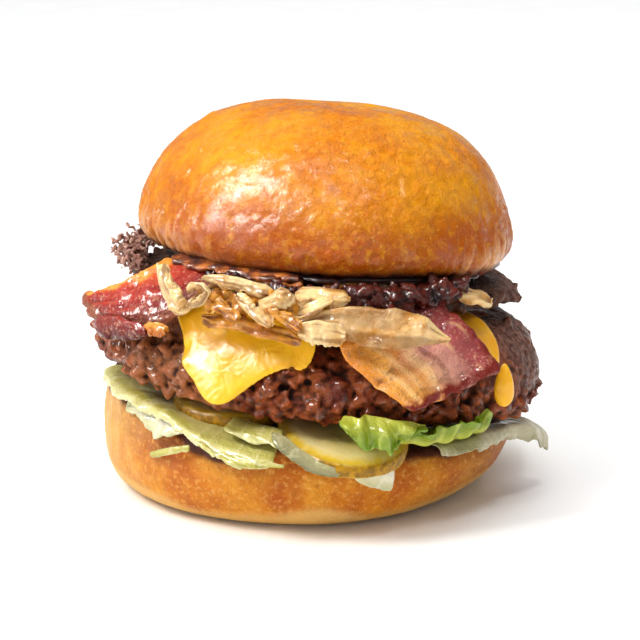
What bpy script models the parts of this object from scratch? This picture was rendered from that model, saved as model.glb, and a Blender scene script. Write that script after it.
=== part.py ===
"""A cheeseburger in a round bun, with two beef patties, cheese, bacon, onions, pickles and lettuce.

Sizes are in millimetres and become metres when a mesh is made. An azimuth is in degrees: 0 faces the
front (-Y), 90 the right (+X) and 180 the back. The burger stands on Z = 0 with +Z up, and the middle
of its box is over the origin.
"""

import math

import bpy
import bmesh
from mathutils import Matrix, Vector, noise
from mathutils.bvhtree import BVHTree

MILLIMETRE = 0.001
GAP = 0.42
SMOOTH_ANGLE = math.radians(50)

# Sloping planes between the layers: height at the axis, rise to the right and rise to the back
HEEL_TOP = (24.6, -0.095, 0.04)
LOWER_PATTY_BASE = (31.0, -0.105, 0.045)
BETWEEN_PATTIES = (51.3, -0.05, 0.01)
UPPER_PATTY_TOP = (57.9, -0.03, -0.015)

# Uneven edges as waves: height, how many all round, and where they start
HEEL_SIDE_WAVES = ((0.5, 3, 40), (0.35, 5, 0))
HEEL_TOP_WAVES = ((0.5, 4, 70),)
CROWN_SIDE_WAVES = ((0.35, 3, 10), (0.25, 7, 0))
CROWN_LIP_WAVES = ((0.6, 9, 0),)

# Lower half of the bun: a wedge, cut higher on the left
HEEL_RADIUS = 55.2
HEEL_CENTRE = (-3.0, 0.0)
HEEL_FOOT_RADIUS = 43.0
HEEL_FOOT_SHIFT = -2.5
HEEL_FOOT_HOLLOW = 1.8
HEEL_WIDEST_HEIGHT = 13.0
HEEL_TAPER = 1.2
HEEL_EDGE_ROUND = 2.4

# Upper half of the bun: a dome that leans back and to the right
CROWN_RADIUS = 50.2
CROWN_CENTRE = (2.2, 0.0, 64.2)
CROWN_LEAN_RIGHT = math.radians(4.0)
CROWN_LEAN_BACK = math.radians(1.2)
CROWN_DOME_HEIGHT = 31.3
CROWN_WIDEST_HEIGHT = 6.0
CROWN_LIP_RADIUS = 43.5
CROWN_LIP_DROP = 1.2
CROWN_LIP_WIDTH = 5.0
DOME_FLATNESS = 3.2
DOME_SHOULDER = 1.5
DOME_RISES = (0.17, 0.34, 0.52, 0.69, 0.84, 0.95, 0.99)
SIDE_TURNS = (28.0, 58.0, 90.0)

# Patties: the lower one is thick with a low rim, the upper one is thin with a drooping edge
LOWER_PATTY_RADIUS = 57.6
LOWER_PATTY_RIGHT_BULGE = 3.0
LOWER_PATTY_LEFT_BULGE = 0.8
LOWER_PATTY_SHOULDER = 15.0
LOWER_PATTY_RIGHT_SLOPE = 0.4
LOWER_PATTY_UNDERCUT = 4.5
LOWER_PATTY_RIM_SHARE = 0.34
LOWER_PATTY_SAG = 2.2
LOWER_PATTY_TURNS = (-90.0, -50.0, 0.0, 20.0, 42.0, 66.0, 90.0)
UPPER_PATTY_RADIUS = 48.0
UPPER_PATTY_SHOULDER = 7.0
UPPER_PATTY_LOBE = 8.5
UPPER_PATTY_LEFT_BULGE = 2.6
UPPER_PATTY_DENT = 2.5
UPPER_PATTY_DROOP = 6.0
UPPER_PATTY_TURNS = (-90.0, -45.0, 0.0, 45.0, 90.0)
DROOP_START = 44.0
DROOP_RUN = 13.0
CRAG_DEPTH = 1.5
UPPER_CRAG_DEPTH = 1.2
CRAG_SIZE = 7.5

# Sheets and strips
CHEESE_THICKNESS = 1.5
CHEESE_ROUNDING = 0.26
CHEESE_PLAY = 0.35
CHEESE_LINE_STEPS = 78
MELT_EDGE = 9.0
CORNER_CROWDING = 27.0
BACON_THICKNESS = 1.7
ONION_THICKNESS = 1.3
ONION_BULGE = 0.8
LEAF_THICKNESS = 0.8
PICKLE_THICKNESS = 2.5
PICKLE_RADIUS = 16.5
PICKLE_FACE_INSET = 6.0
PICKLE_EDGE_ROUND = 0.9
PICKLE_LEVEL = 0.5
PICKLE_DROOP = 4.6
PICKLE_DROOP_SPAN = (50.0, 67.0)

# How finely the solids are divided, and how soft sheets settle on each other
BUN_SEGMENTS = 48
PATTY_SEGMENTS = 64
PICKLE_SEGMENTS = 20
CHEESE_SPOKES = 42
CHEESE_RINGS = 6
CHEESE_CORE = 0.44
LEAF_CELLS_ACROSS = 2
ONION_CELLS_ACROSS = 3
SETTLE_TURNS = 45
SETTLE_REACH = 9.0
SETTLE_RETURN = 0.88
DROP_HEIGHT = 200.0

HEEL_COLOUR = (0.74, 0.36, 0.09)
CROWN_COLOUR = (0.78, 0.33, 0.05)
LOWER_BEEF_COLOUR = (0.15, 0.045, 0.028)
UPPER_BEEF_COLOUR = (0.11, 0.055, 0.04)
CHEESE_COLOUR = (0.90, 0.55, 0.03)
BACON_COLOUR = (0.45, 0.07, 0.04)
ONION_COLOUR = (0.66, 0.42, 0.17)
GREEN_LEAF_COLOUR = (0.36, 0.52, 0.08)
PALE_LEAF_COLOUR = (0.76, 0.76, 0.50)
PICKLE_COLOUR = (0.60, 0.58, 0.22)


def polar(azimuth, radius, height=0.0):
    """Point at an azimuth, a distance from the axis and a height."""
    angle = math.radians(azimuth)
    return Vector((radius * math.sin(angle), -radius * math.cos(angle), height))


def plane_height(plane, place):
    """Height of a sloping plane over a place."""
    height, rise_right, rise_back = plane
    return height + rise_right * place.x + rise_back * place.y


def wavy(waves, azimuth):
    return sum(height * math.sin(math.radians(count * azimuth + start)) for height, count, start in waves)


def eased(start, end, value):
    """0 before start, 1 after end, and a smooth rise between them."""
    share = min(max((value - start) / (end - start), 0.0), 1.0)
    return share * share * (3.0 - 2.0 * share)


def turn_between(azimuth, other):
    """Degrees between two azimuths, from 0 to 180."""
    return abs((azimuth - other + 180.0) % 360.0 - 180.0)


def near(azimuth, centre, half_width):
    """1 at the centre azimuth, falling smoothly to 0 at half_width degrees to either side."""
    return 1.0 - eased(0.0, half_width, turn_between(azimuth, centre))


def crags(point, seed):
    """Uneven relief between about -1 and 1, in lumps of CRAG_SIZE."""
    place = point / CRAG_SIZE + Vector((7.3, 3.1, 5.7)) * seed
    return noise.fractal(place, 1.0, 2.0, 3, noise_basis="PERLIN_ORIGINAL") * 1.6


def spline(points, share):
    """Point of a smooth curve through the given tuples, at a share of the way along it."""
    place = share * (len(points) - 1)
    index = min(int(place), len(points) - 2)
    t = place - index
    p1 = Vector(points[index])
    p2 = Vector(points[index + 1])
    p0 = Vector(points[index - 1]) if index > 0 else 2.0 * p1 - p2
    p3 = Vector(points[index + 2]) if index + 2 < len(points) else 2.0 * p2 - p1
    return 0.5 * (2.0 * p1 + (p2 - p0) * t + (2.0 * p0 - 5.0 * p1 + 4.0 * p2 - p3) * t * t
                  + (3.0 * p1 - p0 - 3.0 * p2 + p3) * t ** 3)


def food_material(name, colour, roughness):
    material = bpy.data.materials.new(name)
    material.use_nodes = True
    shader = material.node_tree.nodes["Principled BSDF"]
    shader.inputs["Base Color"].default_value = (*colour, 1.0)
    shader.inputs["Roughness"].default_value = roughness
    shader.inputs["Metallic"].default_value = 0.0
    material.diffuse_color = (*colour, 1.0)
    return material


class Burger:
    """The pieces made so far, so that each new one can lie clear of them."""

    def __init__(self):
        self.solids = []
        self.trees = {}
        self.depths = {}

    def add(self, name, points, faces, material, depth):
        """Make one closed solid, half as thick as depth at most, from points in millimetres."""
        mesh = bpy.data.meshes.new(name)
        mesh.from_pydata([point * MILLIMETRE for point in points], [], faces)
        shape = bmesh.new()
        shape.from_mesh(mesh)
        bmesh.ops.triangulate(shape, faces=shape.faces)
        bmesh.ops.recalc_face_normals(shape, faces=shape.faces)
        shape.to_mesh(mesh)
        shape.free()
        mesh.materials.append(material)
        mesh.shade_smooth()
        mesh.set_sharp_from_angle(angle=SMOOTH_ANGLE)
        solid = bpy.data.objects.new(name, mesh)
        bpy.context.scene.collection.objects.link(solid)
        self.solids.append(solid)
        corners = [vertex.co / MILLIMETRE for vertex in mesh.vertices]
        polygons = [tuple(polygon.vertices) for polygon in mesh.polygons]
        self.trees[name] = BVHTree.FromPolygons(corners, polygons)
        self.depths[name] = depth

    def rings(self, name, rings, material, depth=SETTLE_REACH):
        """Closed solid from rings of points, listed from the middle of its base to that of its top."""
        count = len(rings[0])
        points = [point for ring in rings for point in ring]
        faces = []
        for level in range(len(rings) - 1):
            for i in range(count):
                j = (i + 1) % count
                low = level * count
                high = low + count
                faces.append((low + i, low + j, high + j, high + i))
        for start, order in ((0, -1), ((len(rings) - 1) * count, 1)):
            ring = points[start:start + count]
            centre = len(points)
            points.append(sum(ring, Vector()) / count)
            for i in range(count):
                faces.append((start + i, start + (i + 1) % count, centre)[::order])
        self.add(name, points, faces, material, depth)

    def sheet(self, name, grid, thickness, material):
        """Closed thin solid around a grid of points, with both faces split into triangles alike."""
        rows = len(grid)
        columns = len(grid[0])
        normals = grid_normals(grid)
        points = []
        for side in (0.5, -0.5):
            for i in range(rows):
                for j in range(columns):
                    points.append(grid[i][j] + normals[i][j] * (thickness * side))
        lower = rows * columns
        faces = []
        for i in range(rows - 1):
            for j in range(columns - 1):
                a = i * columns + j
                b, c, d = a + 1, a + columns + 1, a + columns
                faces += [(a, b, c), (a, c, d)]
                faces += [(lower + c, lower + b, lower + a), (lower + d, lower + c, lower + a)]
        rim = [j for j in range(columns)]
        rim += [i * columns + columns - 1 for i in range(1, rows)]
        rim += [(rows - 1) * columns + j for j in range(columns - 2, -1, -1)]
        rim += [i * columns for i in range(rows - 2, 0, -1)]
        for a, b in zip(rim, rim[1:] + rim[:1]):
            faces.append((b, a, lower + a, lower + b))
        self.add(name, points, faces, material, thickness)

    def disc(self, name, spokes, thickness, material):
        """Closed thin solid from spokes of points that run outwards all round."""
        normals = grid_normals(spokes + spokes[:1])
        rings = []
        for side in (-0.5, 0.5):
            offset = [[point + normals[i][j] * (thickness * side) for j, point in enumerate(spoke)]
                      for i, spoke in enumerate(spokes)]
            levels = list(zip(*offset))
            rings += [list(level) for level in (levels if side < 0 else levels[::-1])]
        self.rings(name, rings, material, thickness)

    def settled(self, grid, thickness):
        """Move a sheet's points clear of every piece made so far, spreading each move smoothly."""
        clearance = thickness / 2 + GAP
        moves = [[Vector() for _ in row] for row in grid]
        for _ in range(SETTLE_TURNS):
            moves = averaged(moves)
            for corners in cells(grid):
                for group in (corners, corners[:2], corners[1:3], corners[:3:2]):
                    middle = sum((grid[i][j] + moves[i][j] for i, j in group), Vector()) / len(group)
                    push = self.pushed_out(middle, clearance) - middle
                    for i, j in group:
                        moves[i][j] = moves[i][j] + push
            for i, row in enumerate(grid):
                for j, home in enumerate(row):
                    moves[i][j] = self.pushed_out(home + moves[i][j], clearance) - home
        return [[home + moves[i][j] for j, home in enumerate(row)] for i, row in enumerate(grid)]

    def pushed_out(self, place, clearance):
        """The nearest place that keeps the clearance to each piece in turn."""
        for name, tree in self.trees.items():
            surface, normal, _, distance = tree.find_nearest(place, SETTLE_REACH)
            if surface is None:
                continue
            away = place - surface
            if away.dot(normal) < -0.5 * distance and distance < self.depths[name]:
                place = surface + normal * clearance
            elif distance < clearance:
                direction = away.normalized() if distance > 0.001 else normal
                place = surface + direction * clearance
        return place

    def height_at(self, place, below):
        """Height of the highest surface of the named pieces above or below a place."""
        start = Vector((place.x, place.y, DROP_HEIGHT))
        hits = [self.trees[name].ray_cast(start, Vector((0, 0, -1)))[0] for name in below]
        return max([hit.z for hit in hits if hit] or [0.0])

    def drape_line(self, azimuth, below, fall, lift):
        """Radius and height, a millimetre apart, of a soft sheet that hangs over the named pieces."""
        heights = []
        for step in range(CHEESE_LINE_STEPS):
            top = self.height_at(polar(azimuth, max(step, 0.5)), below)
            heights.append(top if not heights else max(top, heights[-1] - fall))
        line = []
        for step in range(1, CHEESE_LINE_STEPS - 1):
            slope = (heights[step + 1] - heights[step - 1]) / 2
            length = math.hypot(slope, 1.0)
            line.append((step - lift * slope / length, heights[step] + lift / length))
        return line


def cells(grid):
    """The four corner places of each cell of a grid."""
    for i in range(len(grid) - 1):
        for j in range(len(grid[0]) - 1):
            yield (i, j), (i, j + 1), (i + 1, j + 1), (i + 1, j)


def averaged(moves):
    """Blend each move with those of the points around it, and ease it back a little."""
    rows = len(moves)
    columns = len(moves[0])
    result = []
    for i in range(rows):
        line = []
        for j in range(columns):
            around = [moves[a][b] for a, b in ((i - 1, j), (i + 1, j), (i, j - 1), (i, j + 1))
                      if 0 <= a < rows and 0 <= b < columns]
            line.append((moves[i][j] * 0.5 + sum(around, Vector()) * (0.5 / len(around))) * SETTLE_RETURN)
        result.append(line)
    return result


def grid_normals(grid):
    rows = len(grid)
    columns = len(grid[0])
    normals = []
    for i in range(rows):
        line = []
        for j in range(columns):
            along = grid[min(i + 1, rows - 1)][j] - grid[max(i - 1, 0)][j]
            across = grid[i][min(j + 1, columns - 1)] - grid[i][max(j - 1, 0)]
            line.append(along.cross(across).normalized())
        normals.append(line)
    return normals


def lofted(edges, along, across, bulge=0.0, ruffle=0.0, waves=0.0, phase=0.0):
    """Grid of points through edge curves given as (azimuth, radius, height).

    The grid bulges between its first and last edge, and ruffles more and more towards the last.
    """
    grid = []
    for i in range(along + 1):
        s = i / along
        stations = [tuple(polar(*spline(edge, s))) for edge in edges]
        grid.append([spline(stations, j / across) for j in range(across + 1)])
    normals = grid_normals(grid)
    for i in range(along + 1):
        wave = math.sin(2 * math.pi * (waves * i / along + phase))
        for j in range(across + 1):
            t = j / across
            push = bulge * 4 * t * (1 - t) + ruffle * wave * t * t
            grid[i][j] = grid[i][j] + normals[i][j] * push
    return grid


def salad_height(place, level):
    """Height in the gap under the lower patty: 0 is the lower bun's cut face, 1 the patty's base."""
    low = plane_height(HEEL_TOP, place)
    return low + (plane_height(LOWER_PATTY_BASE, place) - low) * level


def tucked(edge, depth, level):
    """The same edge further in, at a level of the gap under the lower patty."""
    inner = []
    for azimuth, radius, _ in edge:
        inner.append((azimuth, radius - depth, salad_height(polar(azimuth, radius - depth), level)))
    return inner


def turned_up(inner, outer, low, high):
    """Steps of a side that leaves a flat face at its inner edge and ends upright."""
    steps = []
    for turn in SIDE_TURNS:
        bend = math.radians(turn)
        steps.append((inner + (outer - inner) * math.sin(bend), low + (high - low) * (1.0 - math.cos(bend))))
    return steps


def crown_matrix():
    return (Matrix.Translation(CROWN_CENTRE)
            @ Matrix.Rotation(CROWN_LEAN_RIGHT, 4, "Y")
            @ Matrix.Rotation(-CROWN_LEAN_BACK, 4, "X"))


def heel_profile(azimuth):
    """Distance and height of the lower bun's outline, from its foot to the rim of its cut face."""
    radius = HEEL_RADIUS + wavy(HEEL_SIDE_WAVES, azimuth)
    foot = HEEL_FOOT_RADIUS - HEEL_FOOT_HOLLOW * near(azimuth, 90.0, 80.0)
    rim = polar(azimuth, radius) + Vector((HEEL_CENTRE[0], 0.0, 0.0))
    top = plane_height(HEEL_TOP, rim) + wavy(HEEL_TOP_WAVES, azimuth)
    wall = top - HEEL_EDGE_ROUND
    profile = [(foot, 0.0)]
    profile += turned_up(foot, radius, 0.0, HEEL_WIDEST_HEIGHT)
    profile.append((radius - 0.2, (HEEL_WIDEST_HEIGHT + wall) / 2))
    radius -= HEEL_TAPER
    profile.append((radius, wall))
    profile.append((radius - HEEL_EDGE_ROUND * 0.4, wall + HEEL_EDGE_ROUND * 0.75))
    profile.append((radius - HEEL_EDGE_ROUND * 1.2, top))
    return profile


def heel(burger):
    """The lower bun: a flat foot, a wide rounded side and a sloping cut face."""
    material = food_material("toasted_bun_base", HEEL_COLOUR, 0.55)
    columns = []
    for i in range(BUN_SEGMENTS):
        azimuth = 360.0 * i / BUN_SEGMENTS
        column = []
        for distance, level in heel_profile(azimuth):
            point = polar(azimuth, distance, level)
            point.x += HEEL_CENTRE[0] + HEEL_FOOT_SHIFT * (1.0 - min(level / HEEL_WIDEST_HEIGHT, 1.0))
            column.append(point)
        point = polar(azimuth, HEEL_RADIUS * 0.55)
        point.x += HEEL_CENTRE[0]
        point.z = plane_height(HEEL_TOP, point)
        column.append(point)
        columns.append(column)
    burger.rings("bun_heel", [list(ring) for ring in zip(*columns)], material)


def crown_profile(azimuth):
    """Distance and height of the upper bun's outline, from its cut face to the top of its dome."""
    radius = CROWN_RADIUS + wavy(CROWN_SIDE_WAVES, azimuth)
    lip = CROWN_LIP_RADIUS + wavy(CROWN_LIP_WAVES, azimuth)
    profile = [(lip * 0.55, 0.0),
               (lip - CROWN_LIP_WIDTH, 0.0),
               (lip - CROWN_LIP_WIDTH * 0.44, -CROWN_LIP_DROP * 0.8),
               (lip, -CROWN_LIP_DROP)]
    profile += turned_up(lip, radius, -CROWN_LIP_DROP, CROWN_WIDEST_HEIGHT)
    for rise in DOME_RISES:
        reach = (1.0 - rise ** DOME_SHOULDER) ** (1.0 / DOME_FLATNESS)
        profile.append((radius * reach, CROWN_WIDEST_HEIGHT + CROWN_DOME_HEIGHT * rise))
    return profile


def crown(burger):
    """The upper bun: a flat toasted cut face, a rolled-in lip and a glossy dome."""
    material = food_material("glazed_bun_crown", CROWN_COLOUR, 0.3)
    place = crown_matrix()
    columns = []
    for i in range(BUN_SEGMENTS):
        azimuth = 360.0 * i / BUN_SEGMENTS
        profile = crown_profile(azimuth)
        columns.append([place @ polar(azimuth, distance, level) for distance, level in profile])
    burger.rings("bun_crown", [list(ring) for ring in zip(*columns)], material)


def patty_profile(shoulder, undercut, rim_share, turns):
    """Steps of a patty's side as scale, inset and share of its height, from base to top."""
    profile = [(0.5, 0.0, 0.0)]
    for turn in turns:
        bend = math.radians(turn)
        inset = (undercut if turn < 0 else shoulder) * (math.cos(bend) - 1.0)
        half = rim_share if turn < 0 else 1.0 - rim_share
        profile.append((1.0, inset, rim_share + half * math.sin(bend)))
    profile.append((0.5, 0.0, 1.0))
    return profile


def side_relief(point, azimuth, scale, share, depth, seed):
    """Craggy relief of a patty's side, which fades out at its top and base."""
    if scale < 1.0:
        return Vector()
    return polar(azimuth, 1.0) * (depth * math.sin(math.pi * share) ** 0.5 * crags(point, seed))


def lower_patty(burger):
    """A thick patty, widest below the middle, with a crumbly side."""
    material = food_material("seared_beef", LOWER_BEEF_COLOUR, 0.5)
    profile = patty_profile(LOWER_PATTY_SHOULDER, LOWER_PATTY_UNDERCUT, LOWER_PATTY_RIM_SHARE,
                            LOWER_PATTY_TURNS)
    rings = [[] for _ in profile]
    for i in range(PATTY_SEGMENTS):
        azimuth = 360.0 * i / PATTY_SEGMENTS
        right = near(azimuth, 90.0, 60.0)
        radius = LOWER_PATTY_RADIUS + LOWER_PATTY_RIGHT_BULGE * right
        radius += LOWER_PATTY_LEFT_BULGE * near(azimuth, -80.0, 40.0)
        for ring, (scale, inset, share) in zip(rings, profile):
            if share > LOWER_PATTY_RIM_SHARE:
                inset *= 1.0 + LOWER_PATTY_RIGHT_SLOPE * right
            point = polar(azimuth, radius * scale + inset)
            base = plane_height(LOWER_PATTY_BASE, point)
            base -= LOWER_PATTY_SAG * near(azimuth, 80.0, 60.0) * eased(40.0, 58.0, point.length)
            top = plane_height(BETWEEN_PATTIES, point) - CHEESE_THICKNESS / 2 - GAP - CHEESE_PLAY
            point.z = base + (top - base) * share
            ring.append(point + side_relief(point, azimuth, scale, share, CRAG_DEPTH, 1.0))
    burger.rings("patty_lower", rings, material)


def upper_patty(burger):
    """A thin patty whose right edge bulges out and droops over the one below."""
    material = food_material("griddled_beef", UPPER_BEEF_COLOUR, 0.55)
    profile = patty_profile(UPPER_PATTY_SHOULDER, UPPER_PATTY_SHOULDER, 0.5, UPPER_PATTY_TURNS)
    rings = [[] for _ in profile]
    for i in range(PATTY_SEGMENTS):
        azimuth = 360.0 * i / PATTY_SEGMENTS
        lobe = near(azimuth, 98.0, 52.0)
        radius = UPPER_PATTY_RADIUS + UPPER_PATTY_LOBE * lobe
        radius += UPPER_PATTY_LEFT_BULGE * near(azimuth, -100.0, 45.0)
        radius -= UPPER_PATTY_DENT * near(azimuth, 35.0, 35.0)
        for ring, (scale, inset, share) in zip(rings, profile):
            point = polar(azimuth, radius * scale + inset)
            outer = max((point.length - DROOP_START) / DROOP_RUN, 0.0)
            base = plane_height(BETWEEN_PATTIES, point) + CHEESE_THICKNESS / 2 + GAP + CHEESE_PLAY
            top = plane_height(UPPER_PATTY_TOP, point)
            point.z = base + (top - base) * share - UPPER_PATTY_DROOP * lobe * outer ** 2
            point += side_relief(point, azimuth, scale, share, UPPER_CRAG_DEPTH, 2.0)
            if share <= 0.5:
                rest = burger.height_at(point, ("patty_lower", "cheese_lower"))
                point.z = max(point.z, rest + GAP + CHEESE_PLAY)
            ring.append(point)
    burger.rings("patty_upper", rings, material)


def cheese_reach(azimuth, corner, half_side, melts):
    """How far a slice reaches from its middle: a square with rounded corners, and where it has run."""
    diagonal = math.radians((azimuth - corner) % 90.0 - 45.0)
    reach = half_side / math.cos(diagonal) * (1.0 - CHEESE_ROUNDING * math.sin(diagonal) ** 2)
    for start, end, run in melts:
        half_width = (end - start) / 2
        away = turn_between(azimuth, start + half_width)
        reach += run * (1.0 - eased(half_width - MELT_EDGE, half_width + MELT_EDGE, away))
    return reach


def along_line(line, azimuth, distance):
    """Point at a distance walked outwards along a drape line."""
    walked = 0.0
    for (r0, z0), (r1, z1) in zip(line, line[1:]):
        step = math.hypot(r1 - r0, z1 - z0)
        if walked + step >= distance:
            t = (distance - walked) / step
            return polar(azimuth, r0 + (r1 - r0) * t, z0 + (z1 - z0) * t)
        walked += step
    return polar(azimuth, *line[-1])


def cheese_slice(burger, name, below, corner, half_side, fall, melts):
    """A square slice that melts over the pieces below it, with one corner at an azimuth.

    Each melt is a start and an end azimuth, and how far the edge between them has run. The spokes are
    crowded together at the corner, where the slice hangs lowest.
    """
    material = food_material(name + "_melt", CHEESE_COLOUR, 0.22)
    shares = [CHEESE_CORE + (1.0 - CHEESE_CORE) * ring / CHEESE_RINGS for ring in range(CHEESE_RINGS + 1)]
    grid = []
    for spoke in range(CHEESE_SPOKES):
        turn = 360.0 * spoke / CHEESE_SPOKES
        azimuth = corner + turn - CORNER_CROWDING * math.sin(math.radians(turn))
        reach = cheese_reach(azimuth, corner, half_side, melts)
        line = burger.drape_line(azimuth, below, fall, CHEESE_THICKNESS / 2 + GAP)
        grid.append([along_line(line, azimuth, reach * share) for share in shares])
    grid = burger.settled(grid + grid[:1], CHEESE_THICKNESS)
    burger.disc(name, grid[:-1], CHEESE_THICKNESS, material)


def pickle(burger, name, azimuth, reach, scale):
    """A round slice of gherkin that lies on the lower bun and droops over its rim."""
    material = food_material(name + "_skin", PICKLE_COLOUR, 0.3)
    middle = polar(azimuth, reach)
    half = PICKLE_THICKNESS / 2
    profile = [(PICKLE_FACE_INSET, -half),
               (PICKLE_EDGE_ROUND, -half),
               (0.0, -half * 0.4),
               (0.0, half * 0.4),
               (PICKLE_EDGE_ROUND, half),
               (PICKLE_FACE_INSET, half)]
    rings = []
    for inset, level in profile:
        ring = []
        for i in range(PICKLE_SEGMENTS):
            point = middle + polar(360.0 * i / PICKLE_SEGMENTS, (PICKLE_RADIUS - inset) * scale)
            droop = PICKLE_DROOP * eased(*PICKLE_DROOP_SPAN, point.length)
            point.z = salad_height(point, PICKLE_LEVEL) + level - droop
            ring.append(point)
        rings.append(ring)
    burger.rings(name, rings, material)


def leaf(burger, name, colour, root, tip, depth, level, along, ruffle=0.0, waves=0.0, phase=0.0):
    """A leaf that comes out under the lower patty along its root edge and ends at its tip edge.

    It reaches inwards by depth, at a level of the gap. With no depth it lies loose on the bun.
    """
    material = food_material(name + "_leaf", colour, 0.4)
    edges = [tucked(root, depth, level), root, tip] if depth else [root, tip]
    across = LEAF_CELLS_ACROSS * (len(edges) - 1)
    grid = lofted(edges, along, across, ruffle=ruffle, waves=waves, phase=phase)
    grid = burger.settled(grid, LEAF_THICKNESS)
    burger.sheet(name, grid, LEAF_THICKNESS, material)


def strip(burger, name, colour, thickness, edges, along, across, bulge=0.0, ruffle=0.0, waves=0.0):
    """A strip of bacon or onion through its edge curves."""
    material = food_material(name + "_strip", colour, 0.3)
    grid = lofted(edges, along, across, bulge=bulge, ruffle=ruffle, waves=waves)
    grid = burger.settled(grid, thickness)
    burger.sheet(name, grid, thickness, material)


def lettuce(burger):
    """Leaves between the lower bun and the patty, then the shred and the scrap on the bun's side."""
    leaf(burger, "lettuce_left", PALE_LEAF_COLOUR,
         [(-86, 55.4, 31.6), (-62, 56.2, 31.6), (-43, 57.4, 30.6), (-28, 58.8, 25.4), (-10, 60.2, 22.0)],
         [(-84, 58.4, 29.2), (-60, 59.0, 29.2), (-40, 59.4, 27.4), (-27, 60.6, 23.2), (-10, 61.4, 20.3)],
         12.0, 0.2, 22, ruffle=0.5, waves=3.0)
    leaf(burger, "lettuce_ragged", PALE_LEAF_COLOUR,
         [(-61, 55.4, 28.6), (-50, 56.0, 28.0), (-42, 56.6, 27.0), (-34, 57.0, 25.6)],
         [(-60, 57.6, 25.8), (-52, 58.0, 25.4), (-45, 58.4, 21.8), (-36, 58.2, 24.4)],
         2.5, 0.15, 12, ruffle=0.6, waves=2.0)
    leaf(burger, "lettuce_front", GREEN_LEAF_COLOUR,
         [(-24, 55.0, 28.4), (-19, 56.0, 28.0), (-14, 57.0, 27.4), (-9, 57.6, 26.6)],
         [(-24, 57.8, 27.8), (-19, 58.8, 26.6), (-14, 59.8, 25.6), (-9, 60.2, 24.6)],
         4.0, 0.72, 10, ruffle=0.3, waves=2.0)
    leaf(burger, "lettuce_frill", GREEN_LEAF_COLOUR,
         [(7, 58.6, 28.6), (16, 60.2, 26.6), (26, 59.4, 23.8), (36, 58.8, 23.4), (46, 58.0, 23.8)],
         [(7, 60.4, 31.8), (16, 62.2, 29.8), (26, 61.4, 28.2), (36, 60.8, 28.4), (46, 60.2, 29.2)],
         9.0, 0.85, 26, ruffle=1.6, waves=6.5)
    leaf(burger, "lettuce_right", PALE_LEAF_COLOUR,
         [(31, 56.6, 22.2), (44, 56.8, 22.2), (58, 57.0, 22.0), (68, 59.4, 20.0), (77, 62.6, 15.6)],
         [(31, 58.8, 20.4), (39, 59.6, 19.4), (57, 58.4, 18.8), (68, 60.4, 15.2), (76, 62.2, 9.8)],
         8.0, 0.15, 18, ruffle=0.5, waves=2.5)
    leaf(burger, "lettuce_back_right", GREEN_LEAF_COLOUR,
         [(96, 56.0, 21.6), (114, 56.6, 23.4), (132, 57.0, 25.4), (148, 57.0, 27.0)],
         [(96, 61.0, 19.6), (114, 61.0, 20.8), (132, 60.6, 22.8), (148, 60.0, 25.0)],
         9.0, 0.3, 20, ruffle=1.3, waves=5.0)
    leaf(burger, "lettuce_back_left", PALE_LEAF_COLOUR,
         [(186, 57.0, 30.4), (204, 57.0, 31.6), (226, 57.0, 32.4), (250, 56.0, 32.0)],
         [(186, 60.6, 27.6), (204, 60.8, 28.6), (226, 60.6, 29.2), (250, 59.6, 29.2)],
         9.0, 0.5, 18, ruffle=0.9, waves=4.0, phase=0.3)
    leaf(burger, "lettuce_shred", GREEN_LEAF_COLOUR,
         [(-33, 57.8, 22.8), (-40, 58.2, 20.8), (-48, 57.6, 17.8)],
         [(-33, 58.4, 21.0), (-39, 58.4, 18.8), (-47, 57.4, 16.2)],
         0.0, 0.0, 8)
    leaf(burger, "lettuce_tip", PALE_LEAF_COLOUR,
         [(8, 58.6, 17.6), (13, 58.6, 18.0), (19, 58.4, 18.6)],
         [(9, 59.0, 16.0), (14, 58.4, 13.4), (18, 57.8, 12.0)],
         0.0, 0.0, 8)


def bacon(burger):
    """Folded rashers that hang out on both sides, a crisp strip under the bun and one at the back."""
    strip(burger, "bacon_left", BACON_COLOUR, BACON_THICKNESS,
          [[(-76, 62.0, 52.6), (-58, 59.5, 59.6), (-52, 52.5, 64.6), (-58, 42.0, 65.4), (-80, 28.0, 64.4)],
           [(-63, 64.0, 50.2), (-49, 62.0, 51.2), (-38, 59.5, 54.0), (-31, 49.0, 62.0), (-26, 30.0, 63.4)]],
          20, 5, bulge=-0.8, ruffle=0.5, waves=2.0)
    strip(burger, "bacon_right", BACON_COLOUR, BACON_THICKNESS,
          [[(20.5, 64.4, 34.2), (12, 63.0, 40.6), (5, 60.0, 48.6), (2, 51.0, 59.0), (-4, 32.0, 62.4)],
           [(41.8, 66.4, 41.8), (39, 63.0, 48.6), (36, 57.0, 55.0), (36, 46.0, 60.6), (52, 29.0, 61.6)]],
          20, 6, bulge=0.6, ruffle=0.4, waves=2.0)
    strip(burger, "bacon_crisp", BACON_COLOUR, BACON_THICKNESS,
          [[(-30, 42.0, 62.6), (-18, 42.0, 62.4), (-5, 42.0, 62.2)],
           [(-31, 49.6, 63.4), (-18, 50.0, 63.0), (-4, 50.2, 62.8)]],
          12, 3, ruffle=0.4, waves=2.5)
    strip(burger, "bacon_back", BACON_COLOUR, BACON_THICKNESS,
          [[(192, 63.5, 43.0), (192, 59.5, 51.0), (192, 51.0, 59.0), (190, 34.0, 62.4)],
           [(218, 64.0, 45.0), (218, 60.0, 53.0), (220, 51.0, 60.6), (226, 34.0, 63.0)]],
          14, 5, bulge=0.6, ruffle=0.4, waves=2.0)


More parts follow.
